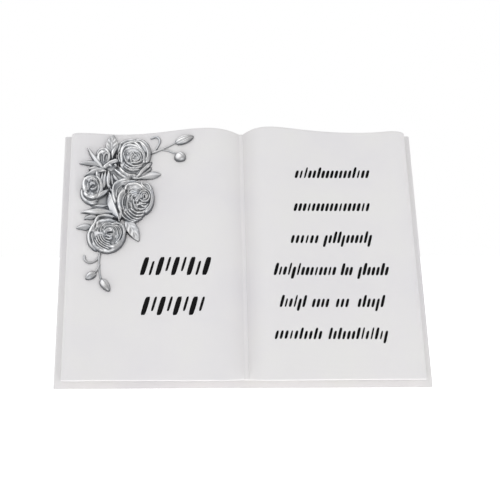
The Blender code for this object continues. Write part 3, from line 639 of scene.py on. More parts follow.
# The petals' rims, each as (raise over the dome, slope of the hollow, its reach, points of the rim).
RIMS = {
    "A": [
        (0.2, 0.22, 3.0, [(-58.2, 148.0), (-56.2, 147.9), (-54.2, 146.9), (-52.1, 144.5), (-50.6, 141.5), (-50.0, 138.3), (-50.2, 135.0), (-50.8, 132.3)]),
        (0.5, 0.22, 3.0, [(-58.6, 146.0), (-57.2, 145.9), (-55.5, 145.3), (-53.8, 143.5), (-52.0, 141.0), (-51.1, 138.3), (-50.9, 135.2), (-51.6, 131.8)]),
        (-0.3, 0.12, 4.0, [(-69.4, 139.4), (-68.2, 142.0), (-67.6, 145.5), (-65.3, 147.2), (-62.7, 147.9), (-60.2, 147.7), (-58.1, 146.6)]),
        (0.3, 0.15, 3.4, [(-66.9, 132.1), (-67.2, 135.4), (-67.1, 138.9), (-66.2, 141.9), (-64.3, 144.3), (-61.7, 145.0), (-59.2, 144.8), (-57.2, 142.8), (-55.4, 139.7), (-53.7, 137.0), (-53.0, 134.1), (-53.2, 131.3)]),
        (0.5, 0.3, 2.0, [(-67.7, 138.5), (-68.2, 136.7), (-68.3, 134.6), (-67.5, 132.4)]),
        (0.2, 0.2, 2.2, [(-65.8, 131.9), (-66.3, 135.2), (-65.8, 138.6), (-64.3, 141.3), (-61.9, 142.2), (-59.9, 141.6), (-57.8, 140.4), (-56.2, 138.2)]),
        (0.7, 0.25, 2.0, [(-53.9, 132.1), (-54.1, 134.5), (-55.0, 136.4), (-56.7, 137.9), (-59.0, 139.1), (-61.5, 139.5), (-63.4, 139.1), (-64.7, 137.8), (-65.3, 135.6)]),
        (0.2, 0.25, 2.0, [(-64.7, 135.4), (-64.4, 133.0), (-63.7, 131.2), (-62.2, 129.5), (-60.5, 128.4), (-58.5, 127.9), (-56.3, 128.4), (-54.2, 130.0)]),
        (0.2, 0.3, 1.6, [(-63.2, 135.2), (-62.5, 136.4), (-61.3, 137.0), (-59.9, 136.6), (-59.0, 135.1)]),
        (0.1, 0.3, 1.6, [(-58.3, 136.2), (-57.2, 136.6), (-56.0, 135.7), (-55.3, 134.1), (-55.2, 132.4), (-55.8, 130.9)]),
        (0.2, 0.3, 1.4, [(-60.7, 130.5), (-61.1, 132.3), (-60.7, 134.1), (-59.7, 135.0)]),
        (0.3, 0.3, 1.4, [(-60.1, 131.6), (-58.9, 130.8), (-57.4, 130.9), (-56.4, 131.8), (-56.2, 133.3), (-56.9, 134.5)]),
        (-0.5, 0.3, 0.9, [(-59.5, 132.8), (-59.2, 134.2), (-58.1, 134.3), (-57.4, 133.2)]),
        (0.2, 0.3, 1.4, [(-60.6, 130.0), (-59.1, 129.7), (-57.4, 129.8), (-55.9, 130.5), (-54.7, 131.9)]),
        (0.0, 0.3, 1.6, [(-64.5, 130.1), (-63.2, 128.6), (-61.7, 127.5), (-60.0, 126.9), (-58.0, 127.0), (-56.2, 127.6), (-54.6, 128.7)]),
        (0.1, 0.3, 1.6, [(-65.1, 129.1), (-63.6, 127.5), (-61.9, 126.5), (-60.0, 126.0), (-58.0, 126.1), (-56.3, 126.7)]),
        (0.2, 0.25, 2.2, [(-67.1, 128.6), (-65.8, 126.5), (-64.0, 124.9), (-62.2, 123.9), (-60.3, 123.5), (-58.2, 123.7)]),
        (0.4, 0.22, 3.0, [(-71.3, 128.5), (-69.9, 126.6), (-68.5, 125.2), (-67.1, 123.9), (-65.6, 122.7), (-63.9, 121.7), (-61.6, 121.3)]),
        (0.6, 0.22, 2.6, [(-57.4, 122.9), (-56.2, 124.2), (-54.8, 125.9), (-53.2, 127.6), (-51.6, 129.4), (-49.9, 131.5)]),
        (0.4, 0.22, 2.4, [(-55.5, 122.9), (-53.8, 124.3), (-52.1, 125.9), (-50.7, 127.1), (-49.6, 128.7)]),
        (0.2, 0.22, 2.4, [(-59.9, 122.2), (-57.8, 122.1), (-55.2, 122.2), (-53.0, 122.6), (-51.1, 123.5), (-49.3, 125.0)]),
    ],
    "B": [
        (1.7, 0.34, 2.6, [(-68.9, 105.5), (-69.9, 108.6), (-70.4, 111.4), (-70.5, 114.2), (-70.0, 116.8), (-68.8, 118.4), (-66.9, 119.4), (-64.6, 119.8), (-62.4, 120.1)]),
        (0.4, 0.3, 1.7, [(-67.9, 106.4), (-68.6, 109.3), (-68.7, 112.0), (-68.2, 114.5), (-67.0, 116.1), (-65.7, 116.9)]),
        (1.3, 0.42, 2.2, [(-65.8, 100.4), (-66.7, 102.8), (-67.1, 105.5), (-66.9, 107.7), (-66.2, 109.8), (-65.1, 111.3), (-63.8, 111.9)]),
        (0.3, 0.3, 1.5, [(-64.5, 101.0), (-65.1, 103.4), (-65.0, 106.1), (-64.4, 108.5), (-63.2, 110.3)]),
        (0.8, 0.3, 1.6, [(-66.3, 118.4), (-64.0, 118.8), (-61.2, 118.7), (-58.4, 118.2), (-55.9, 117.3)]),
        (0.6, 0.22, 2.6, [(-63.4, 112.7), (-63.0, 114.7), (-61.7, 115.9), (-59.8, 116.2), (-57.6, 115.8), (-55.6, 114.5), (-54.1, 112.5)]),
        (0.3, 0.26, 1.7, [(-62.3, 110.4), (-61.3, 112.1), (-59.4, 112.8), (-57.1, 112.5), (-55.1, 111.5)]),
        (1.0, 0.32, 2.0, [(-55.1, 117.8), (-54.3, 115.2), (-52.9, 113.3), (-50.6, 112.0)]),
        (0.1, 0.16, 4.2, [(-54.3, 118.1), (-52.0, 118.2), (-50.1, 116.7), (-48.9, 113.4), (-48.2, 110.1), (-48.1, 106.9), (-48.6, 103.8), (-49.9, 101.4), (-51.8, 99.5)]),
        (0.2, 0.2, 2.6, [(-50.8, 112.6), (-49.7, 110.4), (-49.3, 107.5), (-49.7, 104.3), (-50.5, 101.7), (-52.3, 99.8)]),
        (0.5, 0.3, 1.5, [(-62.5, 101.2), (-62.6, 103.5), (-62.4, 106.1), (-62.1, 108.3), (-61.1, 110.0), (-59.3, 110.6), (-57.1, 110.5)]),
        (0.5, 0.25, 1.6, [(-55.8, 108.9), (-54.7, 110.5), (-53.1, 111.3), (-51.5, 111.0), (-50.5, 109.4), (-50.3, 107.1), (-51.1, 105.2), (-52.6, 104.1), (-54.2, 104.0), (-55.3, 105.1)]),
        (0.4, 0.3, 1.2, [(-54.4, 106.0), (-54.6, 107.7), (-53.7, 109.2), (-52.4, 109.5), (-51.5, 108.5), (-51.5, 106.8), (-52.5, 105.5), (-53.7, 105.3)]),
        (0.5, 0.3, 0.9, [(-53.5, 106.3), (-53.6, 107.4), (-52.8, 108.3), (-52.1, 107.7), (-52.4, 106.4)]),
        (0.8, 0.3, 1.3, [(-58.0, 103.9), (-57.5, 105.4), (-56.3, 106.7), (-55.7, 108.3)]),
        (0.5, 0.3, 1.2, [(-60.2, 107.5), (-59.0, 108.3), (-57.4, 108.2), (-56.2, 107.5)]),
        (0.6, 0.3, 1.2, [(-61.1, 109.8), (-59.6, 109.6), (-57.9, 109.7), (-56.5, 109.3)]),
        (0.5, 0.3, 1.2, [(-61.5, 105.5), (-61.5, 107.8), (-60.5, 108.9)]),
        (0.7, 0.3, 1.1, [(-60.2, 104.9), (-60.3, 106.5), (-59.3, 107.2)]),
        (1.0, 0.28, 1.8, [(-59.1, 105.4), (-59.1, 103.6), (-58.7, 102.0), (-58.0, 100.6), (-56.9, 99.6)]),
        (0.4, 0.28, 1.4, [(-56.8, 102.0), (-55.5, 102.3), (-54.5, 101.6), (-53.2, 101.4), (-51.7, 102.1), (-50.7, 103.7)]),
        (0.3, 0.28, 1.3, [(-56.1, 103.4), (-55.0, 102.8), (-53.3, 102.7), (-51.8, 103.3)]),
        (0.1, 0.28, 1.4, [(-56.6, 100.3), (-55.0, 99.9), (-53.1, 100.4), (-51.4, 102.0)]),
        (0.3, 0.3, 1.4, [(-60.6, 101.0), (-59.4, 99.5), (-57.7, 98.4), (-55.9, 98.2), (-53.9, 98.7), (-52.2, 100.0)]),
        (0.3, 0.3, 1.5, [(-61.8, 100.4), (-60.7, 98.8), (-59.2, 97.4), (-57.2, 96.7), (-55.1, 97.0), (-53.4, 98.0)]),
        (0.4, 0.3, 1.5, [(-62.9, 99.6), (-61.9, 98.1), (-60.5, 96.7), (-58.7, 95.6), (-56.7, 95.3), (-54.6, 96.1)]),
        (0.3, 0.3, 1.6, [(-64.5, 99.4), (-63.4, 97.9), (-61.9, 96.4), (-60.3, 95.1), (-58.3, 94.5), (-56.4, 94.5)]),
        (0.5, 0.3, 1.7, [(-66.0, 99.6), (-65.4, 97.7), (-64.1, 96.1), (-62.2, 94.8), (-60.1, 94.0), (-57.9, 93.8)]),
    ],
    "C": [
        (1.1, 0.34, 2.4, [(-82.3, 87.0), (-80.8, 89.1), (-79.6, 91.4), (-79.1, 93.8), (-78.1, 95.7), (-76.0, 96.7), (-73.5, 97.0), (-70.5, 96.4)]),
        (0.7, 0.22, 2.4, [(-78.9, 88.7), (-78.0, 91.6), (-76.2, 92.7), (-74.2, 93.0), (-72.2, 93.3), (-70.1, 93.0)]),
        (-0.3, 0.14, 4.4, [(-79.9, 76.0), (-82.1, 78.2), (-83.5, 81.0), (-84.0, 83.9), (-83.9, 86.6), (-82.8, 88.6)]),
        (0.4, 0.26, 2.0, [(-79.8, 79.0), (-80.9, 81.3), (-81.4, 83.8), (-81.2, 86.1)]),
        (0.4, 0.24, 1.8, [(-76.7, 86.2), (-76.4, 88.3), (-75.3, 89.7), (-73.7, 90.7), (-71.8, 91.2), (-70.0, 91.0)]),
        (0.3, 0.24, 3.0, [(-70.3, 91.3), (-68.4, 92.1), (-66.0, 92.1), (-64.3, 90.8), (-63.4, 88.4), (-63.3, 85.5), (-64.0, 82.7), (-65.5, 80.0)]),
        (0.9, 0.26, 2.0, [(-69.8, 88.9), (-68.4, 89.8), (-66.9, 89.4), (-65.8, 87.7), (-65.5, 85.6), (-65.9, 83.4), (-66.8, 81.5), (-68.4, 80.0)]),
        (0.5, 0.26, 1.8, [(-74.8, 85.3), (-74.6, 87.2), (-73.4, 88.6), (-71.7, 89.2), (-70.0, 89.1), (-68.6, 88.3), (-67.6, 86.6), (-67.5, 84.6)]),
        (0.5, 0.34, 1.1, [(-74.5, 84.6), (-73.8, 86.2), (-72.2, 87.3), (-70.3, 87.2), (-69.0, 86.0)]),
        (0.4, 0.32, 1.3, [(-75.8, 83.5), (-75.5, 82.4), (-75.0, 81.5), (-74.3, 80.7), (-73.4, 80.2), (-72.4, 80.0), (-71.3, 80.0)]),
        (0.5, 0.32, 1.3, [(-76.9, 84.2), (-76.7, 82.7), (-76.2, 81.4), (-75.3, 80.2), (-74.2, 79.4), (-72.8, 79.0), (-71.4, 79.0)]),
        (0.5, 0.32, 1.3, [(-78.1, 84.2), (-77.8, 82.4), (-77.2, 80.9), (-76.2, 79.6), (-74.9, 78.7), (-73.4, 78.1), (-71.7, 78.0)]),
        (0.5, 0.32, 1.3, [(-79.2, 83.3), (-78.7, 81.5), (-77.9, 80.0), (-76.7, 78.7), (-75.3, 77.8), (-73.7, 77.2), (-72.0, 77.0)]),
        (0.4, 0.32, 1.4, [(-79.9, 81.8), (-79.2, 80.3), (-78.3, 78.9), (-77.1, 77.8), (-75.8, 76.9), (-74.3, 76.4), (-72.6, 76.2)]),
        (0.4, 0.3, 0.9, [(-73.7, 83.5), (-72.5, 82.9), (-71.2, 82.7), (-70.1, 83.5)]),
        (0.4, 0.3, 0.9, [(-74.0, 81.9), (-72.6, 81.3), (-71.1, 81.6), (-70.2, 82.4)]),
        (-0.3, 0.16, 4.0, [(-81.5, 80.6), (-80.4, 78.6), (-78.8, 76.9), (-76.8, 75.8), (-74.4, 75.3), (-72.2, 75.3)]),
        (-0.1, 0.16, 3.6, [(-71.8, 77.5), (-69.8, 77.7), (-67.5, 78.7), (-65.6, 80.4), (-64.3, 82.5)]),
        (-0.4, 0.14, 4.4, [(-75.2, 75.0), (-72.2, 75.2), (-69.1, 76.3), (-66.7, 78.1), (-64.8, 80.6), (-63.5, 83.7)]),
        (0.5, 0.26, 1.6, [(-67.9, 81.8), (-67.1, 83.3), (-67.2, 84.8)]),
    ],
    "E": [
        (0.1, 0.12, 3.4, [(-79.3, 132.2), (-80.4, 135.0), (-80.6, 138.1), (-79.5, 140.5), (-77.2, 141.3), (-75.0, 140.9), (-73.3, 138.6), (-72.8, 135.4), (-73.5, 132.2)]),
        (0.5, 0.2, 2.4, [(-78.7, 132.3), (-79.1, 134.7), (-78.3, 136.8), (-76.7, 137.5), (-75.5, 137.1)]),
        (0.4, 0.2, 2.0, [(-76.4, 131.7), (-76.4, 133.6), (-75.7, 135.7), (-74.6, 136.9), (-73.7, 135.7), (-73.9, 133.1)]),
    ],
    "D": [
        (1.0, 0.26, 2.8, [(-85.8, 111.0), (-86.9, 113.5), (-87.4, 116.1), (-87.0, 118.5), (-85.6, 119.8), (-83.7, 120.4), (-81.8, 120.3)]),
        (0.5, 0.26, 1.8, [(-84.4, 113.3), (-84.5, 115.9), (-83.7, 117.8), (-81.9, 118.9), (-80.2, 118.7), (-79.3, 117.0)]),
        (0.6, 0.28, 1.3, [(-83.2, 114.8), (-81.9, 115.9), (-80.5, 115.9)]),
        (0.4, 0.3, 1.1, [(-83.2, 113.0), (-81.7, 112.6), (-80.3, 113.4), (-79.8, 114.9)]),
        (-0.1, 0.16, 4.2, [(-88.3, 113.2), (-88.3, 110.8), (-87.5, 108.2), (-85.8, 106.2), (-83.8, 104.9), (-81.6, 104.6), (-79.5, 105.2)]),
        (0.2, 0.18, 3.2, [(-86.8, 110.8), (-85.3, 108.9), (-83.0, 107.9), (-80.7, 108.2), (-78.8, 109.8)]),
        (0.7, 0.24, 2.4, [(-79.7, 120.9), (-78.3, 118.9), (-77.5, 116.2), (-77.4, 113.3), (-78.4, 110.4)]),
        (0.3, 0.24, 2.0, [(-85.1, 106.2), (-83.1, 105.8), (-80.9, 106.1), (-79.1, 107.4)]),
    ],
}

# Leaves: section, width, height of the crest, depth of the keel or trough, middle line from base to tip, and extras.
LEAVES = [
    ("trough", 6.8, 2.6, 0.5, [(-71.2, 138.0), (-71.8, 141.6), (-71.9, 145.6), (-71.5, 150.3)], {'veins': 4, 'fat': 0.85}),
    ("keel", 1.9, 4.2, 0.6, [(-71.6, 134.4), (-71.1, 138.0), (-69.7, 142.3)], {}),
    ("keel", 2.8, 3.0, 1.0, [(-76.0, 127.0), (-79.8, 132.3), (-83.0, 136.7), (-85.7, 141.4)], {'fat': 0.75}),
    ("keel", 3.1, 2.6, 0.9, [(-77.8, 128.9), (-81.7, 130.7), (-85.6, 131.2), (-89.9, 130.8)], {'fat': 0.8}),
    ("keel", 1.8, 3.2, 0.7, [(-78.2, 127.5), (-81.6, 127.6), (-84.8, 126.9)], {}),
    ("keel", 3.2, 3.2, 1.0, [(-75.1, 126.4), (-78.8, 126.6), (-82.3, 125.2), (-87.0, 122.4)], {'fat': 0.8}),
    ("keel", 1.9, 3.9, 0.8, [(-73.3, 126.6), (-73.4, 122.4), (-73.6, 118.5), (-73.3, 114.4)], {}),
    ("keel", 1.9, 2.4, 0.9, [(-71.2, 125.1), (-70.0, 122.5), (-68.3, 120.8), (-66.4, 119.9)], {}),
    ("keel", 1.7, 2.2, 0.9, [(-72.0, 124.8), (-71.7, 121.5), (-71.2, 118.3), (-71.3, 115.1)], {}),
    ("keel", 1.9, 2.0, 0.8, [(-73.5, 104.7), (-75.7, 104.2), (-78.2, 104.1), (-80.7, 104.1)], {}),
    ("keel", 2.0, 3.4, 0.8, [(-75.1, 125.9), (-75.4, 121.9), (-75.7, 118.1), (-76.1, 113.5)], {}),
    ("keel", 1.6, 3.6, 0.8, [(-76.7, 125.0), (-77.0, 121.1), (-76.9, 117.9), (-76.4, 114.7)], {}),
    ("keel", 1.8, 3.4, 0.8, [(-78.3, 124.6), (-78.7, 121.1), (-78.5, 117.2), (-77.9, 112.8)], {}),
    ("keel", 1.5, 4.2, 0.6, [(-80.0, 125.3), (-79.7, 123.4), (-79.5, 121.1)], {}),
    ("keel", 2.1, 3.9, 1.1, [(-72.9, 113.9), (-75.6, 112.1), (-77.5, 110.5), (-79.7, 108.1)], {}),
    ("keel", 5.3, 4.4, 2.7, [(-72.9, 112.2), (-71.7, 107.5), (-70.0, 102.5), (-68.2, 98.1), (-66.7, 93.8)], {'fat': 0.8, 'shift': 0.25}),
    ("keel", 1.8, 3.3, 0.8, [(-72.7, 115.5), (-71.0, 112.3), (-69.6, 109.4), (-68.2, 106.7)], {}),
    ("keel", 1.7, 3.2, 0.7, [(-66.9, 102.8), (-66.3, 100.0), (-66.3, 97.5), (-66.7, 94.8)], {}),
    ("keel", 4.6, 3.0, 1.9, [(-70.3, 99.8), (-75.3, 100.6), (-80.2, 100.6), (-84.0, 100.2), (-88.3, 99.3)], {'fat': 0.75}),
    ("keel", 3.2, 2.0, 0.9, [(-78.0, 96.6), (-81.3, 97.0), (-84.5, 96.5), (-86.3, 95.3)], {}),
    ("keel", 3.7, 2.0, 0.7, [(-81.1, 90.4), (-84.3, 90.6), (-87.3, 90.4), (-90.4, 89.7)], {'fat': 0.8}),
    ("trough", 6.2, 2.2, 0.6, [(-63.1, 95.2), (-60.8, 91.5), (-58.7, 87.7), (-56.0, 82.2)], {'veins': 4, 'fat': 0.8}),
    ("keel", 4.6, 1.9, 0.7, [(-58.0, 121.2), (-54.1, 122.3), (-50.2, 123.1), (-46.8, 123.3), (-44.0, 123.3)], {'fat': 1.5}),
    ("trough", 4.9, 1.4, 0.4, [(-74.9, 74.0), (-72.4, 71.0), (-68.8, 66.0)], {'veins': 3}),
]

# Small round drops at the junction of the stalks: middle, radius, height.
BALLS = [((-72.5, 129.3), 0.9, 3.8), ((-69.7, 129.9), 0.8, 3.4), ((-73.0, 115.4), 0.8, 4.9)]

BUDS = [
    {"base": (-36.0, 143.0), "tip": (-25.6, 145.8), "width": 5.6, "high": 2.7, "lift": 0.3, "seams": [(0.30, 0.6), (-0.30, 0.5)]},
    {"base": (-35.9, 135.2), "tip": (-30.4, 131.0), "width": 6.2, "high": 3.0, "lift": 0.3, "seams": [(0.30, 0.35)]},
    {"base": (-76.0, 59.3), "tip": (-71.2, 52.2), "width": 4.7, "high": 2.8, "lift": 0.3, "seams": [(0.30, 0.4)]},
    {"base": (-78.8, 63.2), "tip": (-84.2, 58.9), "width": 4.4, "high": 2.4, "lift": 0.3, "seams": [(0.25, 0.4)]},
]

# Stems and tendrils: points on the page, height, radius at the start and at the end.
STEMS = [
    ([(-53.0, 136.4), (-49.9, 137.6), (-43.1, 140.0), (-35.0, 143.3)], 0.45, (0.80, 0.48)),
    ([(-44.5, 139.7), (-40.0, 138.3), (-35.4, 135.6)], 0.35, (0.50, 0.45)),
    ([(-49.0, 137.8), (-46.2, 141.4), (-44.8, 145.6), (-46.6, 148.3), (-49.6, 147.9)], 0.35, (0.50, 0.75)),
    ([(-76.4, 78.0), (-77.2, 72.0), (-77.0, 65.0), (-76.0, 59.3)], 0.40, (0.62, 0.50)),
    ([(-77.0, 67.9), (-78.0, 65.2), (-79.4, 62.9)], 0.4, (0.60, 0.65)),
    ([(-76.6, 74.4), (-79.0, 70.4), (-82.4, 68.8), (-84.8, 70.4), (-85.2, 72.6)], 0.35, (0.50, 0.75)),
    ([(-69.5, 132.6), (-72.6, 131.2), (-75.4, 128.6)], 2.6, (1.20, 1.10)),
]

# Low mounds that carry the leaves between the roses: middle, radii, height.
MOUNDS = [((-73.5, 121.5), (6.0, 9.0), 0.8), ((-72.0, 101.5), (7.0, 8.0), 0.7), ((-66.0, 121.5), (5.5, 5.0), 0.7), ((-72.6, 129.7), (3.2, 3.2), 2.2),
          ((-71.5, 134.5), (4.0, 6.0), 1.0), ((-77.0, 126.5), (4.0, 5.0), 1.0), ((-78.0, 109.5), (8.0, 8.5), 0.7)]

SPRAY_CELL = 0.20
SPRAY_FACES = 176000
# OPEN and the FOLD weights set the painted light on the silver: painted shade in folds and hollows, painted highlight
# on rims
OPEN, FOLD_FINE, FOLD_BROAD, FOLD_WIDE = 0.58, 1.5, 0.22, 0.24
# Creases cut in the petals: points, depth, width.
CREASES = [
    ([(-63.5, 110.1), (-64.0, 107.9), (-64.1, 105.5), (-63.8, 102.5)], 0.9, 1.0),
    ([(-61.5, 104.5), (-61.5, 102.6), (-60.8, 101.2)], 0.7, 0.6),
    ([(-57.9, 104.2), (-57.8, 102.5)], 0.9, 0.45),
    ([(-64.0, 116.1), (-62.8, 117.5), (-60.7, 117.7), (-57.3, 117.3), (-55.6, 116.5)], 0.5, 0.4),
    ([(-67.9, 104.9), (-67.5, 102.7)], 0.5, 0.4),
    ([(-73.1, 85.2), (-71.6, 85.5), (-69.9, 85.9)], 1.2, 0.5),
    ([(-72.5, 83.7), (-70.8, 84.2)], 0.8, 0.45),
    ([(-78.2, 86.9), (-76.6, 87.8), (-75.3, 89.4)], 0.8, 0.9),
    ([(-78.1, 94.7), (-76.2, 95.3), (-74.0, 95.5), (-71.0, 95.0)], 0.6, 0.6),
    ([(-71.3, 79.0), (-69.4, 79.1), (-67.6, 80.2)], 0.7, 0.6),
    ([(-69.1, 90.4), (-67.8, 90.8), (-66.5, 90.9)], 0.6, 0.35),
    ([(-79.1, 87.0), (-79.5, 88.8), (-79.2, 90.8)], 0.5, 0.5),
    ([(-62.8, 123.5), (-60.8, 122.8), (-58.8, 123.1)], 0.6, 0.45),
    ([(-53.1, 137.7), (-52.4, 135.5), (-52.3, 133.0)], 0.5, 0.45),
    ([(-69.7, 139.3), (-69.4, 136.6), (-68.9, 134.2)], 0.7, 0.6),
    ([(-62.0, 132.8), (-62.0, 130.8)], 0.5, 0.4),
    ([(-61.2, 143.3), (-58.7, 143.3)], 0.5, 0.4),
    ([(-57.8, 145.2), (-56.3, 143.5), (-54.8, 140.6)], 0.4, 0.35),
    ([(-67.3, 145.0), (-66.6, 144.1)], 0.5, 0.4),
    ([(-83.9, 117.2), (-84.1, 116.2)], 0.7, 0.45),
    ([(-83.3, 114.7), (-82.1, 113.7), (-80.9, 114.2)], 0.6, 0.45),
    ([(-84.2, 109.4), (-82.9, 108.7)], 0.6, 0.5),
]


def soften(v, weight, rounds):
    """A blur of the grid that leaves out where weight is 0."""
    a, b = v * weight, weight.copy()
    for _ in range(rounds):
        for m in (a, b):
            m[1:-1] = 0.25 * m[:-2] + 0.5 * m[1:-1] + 0.25 * m[2:]
            m[:, 1:-1] = 0.25 * m[:, :-2] + 0.5 * m[:, 1:-1] + 0.25 * m[:, 2:]
    return a / np.maximum(b, 1e-6)


def wide_blur(v, weight, sigma):
    """A Gaussian blur of the grid, sigma in cells, that leaves out where weight is 0."""
    fy, fx = np.fft.fftfreq(v.shape[0])[:, None], np.fft.rfftfreq(v.shape[1])[None]
    k = np.exp(-2.0 * (math.pi * sigma) ** 2 * (fx ** 2 + fy ** 2))
    a, b = (np.fft.irfft2(np.fft.rfft2(m) * k, s=v.shape) for m in (v * weight, weight))
    return a / np.maximum(b, 1e-3)


def spray_relief(cell):
    """The relief, and its painted light at each point: 0 for painted shade down in the folds, 1 for a painted
    highlight on a rim.
    """
    g = Relief(cell)
    for (mx, ms), (rx, rs), high in MOUNDS:
        w = g.window(np.array([(mx, ms)]), max(rx, rs) + 1.0)
        f = ((g.X[w] - mx) / rx) ** 2 + ((g.S[w] - ms) / rs) ** 2
        g.lift(w, high * np.sqrt(np.clip(1.0 - f, 0.0, 1.0)) - 4.0 * np.maximum(0.0, f - 1.0))
    for points, k, radii in STEMS:
        stem(g, points, k, radii)
    for d in BUDS:
        bud(g, d)
    for section, wide, top, keel, points, extra in LEAVES:
        leaf(g, section, wide, top, keel, points, **extra)
    for name in "EDCAB":
        rose(g, ROSES[name], RIMS[name])
    for at, radius, top in BALLS:
        drop_of(g, at, radius, top)
    for points, deep, wide in CREASES:
        crease(g, points, deep, wide)
    tall = (g.H > GAP).astype(float)
    g.H = np.where(tall > 0.0, soften(g.H, tall, 1), g.H)
    body = (g.H > GAP).astype(float)
    H = np.maximum(g.H, GAP)
    fine = H - soften(H, body, max(1, round((0.2 / cell) ** 2 * 8)))
    broad = H - wide_blur(H, body, 1.1 / cell)
    sunk = np.maximum(0.0, wide_blur(H, body, 2.4 / cell) - H - 0.8)
    # painted light: rims standing above their surroundings are painted lighter as a highlight, grooves and sunken
    # hollows darker as painted shade
    v = OPEN + FOLD_FINE * fine + FOLD_BROAD * broad - FOLD_WIDE * sunk * step(3.4, 1.6, H)
    # painted shade on the low parts near the page
    v = v * (0.66 + 0.34 * step(0.0, 1.5, H - GAP))
    # painted shade on the tall outer walls near the outline
    inward = wide_blur(body, np.ones_like(body), 1.3 / cell)
    v = v * (1.0 - 0.34 * step(0.92, 0.55, inward) * step(1.0, 2.2, H))
    return g, np.clip(v, 0.0, 1.0)


def read(g, grid, x, s):
    """Values of a grid at points, between its knots."""
    a = np.clip((x - SPRAY_X[0]) / g.cell, 0.0, len(g.x) - 1.001)
    b = np.clip((s - SPRAY_S[0]) / g.cell, 0.0, len(g.s) - 1.001)
    i, j = a.astype(int), b.astype(int)
    a, b = a - i, b - j
    return (grid[j, i] * (1 - a) + grid[j, i + 1] * a) * (1 - b) + (grid[j + 1, i] * (1 - a) + grid[j + 1, i + 1] * a) * b


def make_spray():
    g, v = spray_relief(SPRAY_CELL)
    tall = g.H > BED + 0.4
    near = tall.copy()
    for dr in (-1, 0, 1):
        for dc in (-1, 0, 1):
            near |= np.roll(np.roll(tall, dr, 0), dc, 1)
    cells = near[:-1, :-1] & near[1:, :-1] & near[:-1, 1:] & near[1:, 1:]
    used = np.zeros(g.H.shape, bool)
    used[:-1, :-1] |= cells
    used[1:, :-1] |= cells
    used[:-1, 1:] |= cells
    used[1:, 1:] |= cells
    index = np.full(g.H.shape, -1)
    index[used] = np.arange(used.sum())
    n = int(used.sum())
    top = np.stack([g.X[used], g.S[used], np.maximum(g.H[used], BED + 0.05)], 1)
    low = top.copy()
    low[:, 2] = BED
    r, c = np.nonzero(cells)
    quads = np.stack([index[r, c], index[r, c + 1], index[r + 1, c + 1], index[r + 1, c]], 1)
    # walls round the outside, where a cell has no neighbour
    walls = []
    pad = np.pad(cells, 1)
    for dr, dc, p, q in ((-1, 0, (0, 0), (0, 1)), (1, 0, (1, 1), (1, 0)), (0, -1, (1, 0), (0, 0)), (0, 1, (0, 1), (1, 1))):
        free = cells & ~pad[1 + dr:pad.shape[0] - 1 + dr, 1 + dc:pad.shape[1] - 1 + dc]
        rr, cc = np.nonzero(free)
        a, b = index[rr + p[0], cc + p[1]], index[rr + q[0], cc + q[1]]
        walls.append(np.stack([b, a, a + n, b + n], 1))
    faces = np.vstack([quads, quads[:, ::-1] + n] + walls)
    mesh = bpy.data.meshes.new("rose_spray_casting")
    mesh.from_pydata(np.vstack([top, low]).tolist(), [], faces.tolist())
    spray = bpy.data.objects.new("rose_spray_casting", mesh)
    bpy.context.scene.collection.objects.link(spray)
    bm = bmesh.new()
    bm.from_mesh(mesh)
    pinched = [p for p in bm.verts if not p.is_manifold]
    bmesh.ops.delete(bm, geom=pinched, context="VERTS")
    rim = [e for e in bm.edges if len(e.link_faces) == 1]
    bmesh.ops.holes_fill(bm, edges=rim, sides=0)
    bmesh.ops.triangulate(bm, faces=bm.faces)
    bm.to_mesh(mesh)
    bm.free()
    faces = len(mesh.polygons)
    if faces > SPRAY_FACES:
        m = spray.modifiers.new("lighter", "DECIMATE")
        m.ratio = SPRAY_FACES / faces
        baked(spray)
    bm = bmesh.new()
    bmesh.ops.create_cube(bm, size=1.0, matrix=Matrix.Translation((-58.0, 100.0, GAP - 5.0)) @ Matrix.Diagonal((80.0, 124.0, 10.0, 1.0)))
    for i in range(1, 80):
        bmesh.ops.bisect_plane(bm, geom=bm.verts[:] + bm.edges[:] + bm.faces[:], plane_co=(-98.0 + i, 0.0, 0.0), plane_no=(1.0, 0.0, 0.0))
    under = object_from(bm, "under")
    boolean(spray, under, "DIFFERENCE")
    baked(spray)
    drop(under)
    largest_body(spray)
    bm = bmesh.new()
    bm.from_mesh(spray.data)
    bmesh.ops.remove_doubles(bm, verts=bm.verts, dist=0.004)
    bmesh.ops.dissolve_degenerate(bm, dist=0.004, edges=bm.edges)
    bmesh.ops.triangulate(bm, faces=[f for f in bm.faces if len(f.verts) > 4])
    bm.to_mesh(spray.data)
    bm.free()
    n = len(spray.data.vertices)
    co = np.zeros(n * 3)
    spray.data.vertices.foreach_get("co", co)
    co = co.reshape(-1, 3)
    # the painted light value: painted shade in the folds, painted highlight on the rims
    layer = spray.data.attributes.new("fold", "FLOAT", "POINT")
    layer.data.foreach_set("value", read(g, v, co[:, 0], co[:, 1]).astype(np.float32))
    heights = np.array([page_height(x) for x in co[:, 0]])
    h = heights + co[:, 2]
    world = np.stack([co[:, 0], BACK + co[:, 1] * sin_t - h * cos_t, co[:, 1] * cos_t + h * sin_t], 1) * MM
    spray.data.vertices.foreach_set("co", world.astype(np.float32).ravel())
    spray.data.update()
    bm = bmesh.new()
    bm.from_mesh(spray.data)
    bmesh.ops.recalc_face_normals(bm, faces=bm.faces)
    bm.to_mesh(spray.data)
    bm.free()
    spray.name = spray.data.name = "rose_spray_casting"
    spray.data.shade_smooth()
    return spray


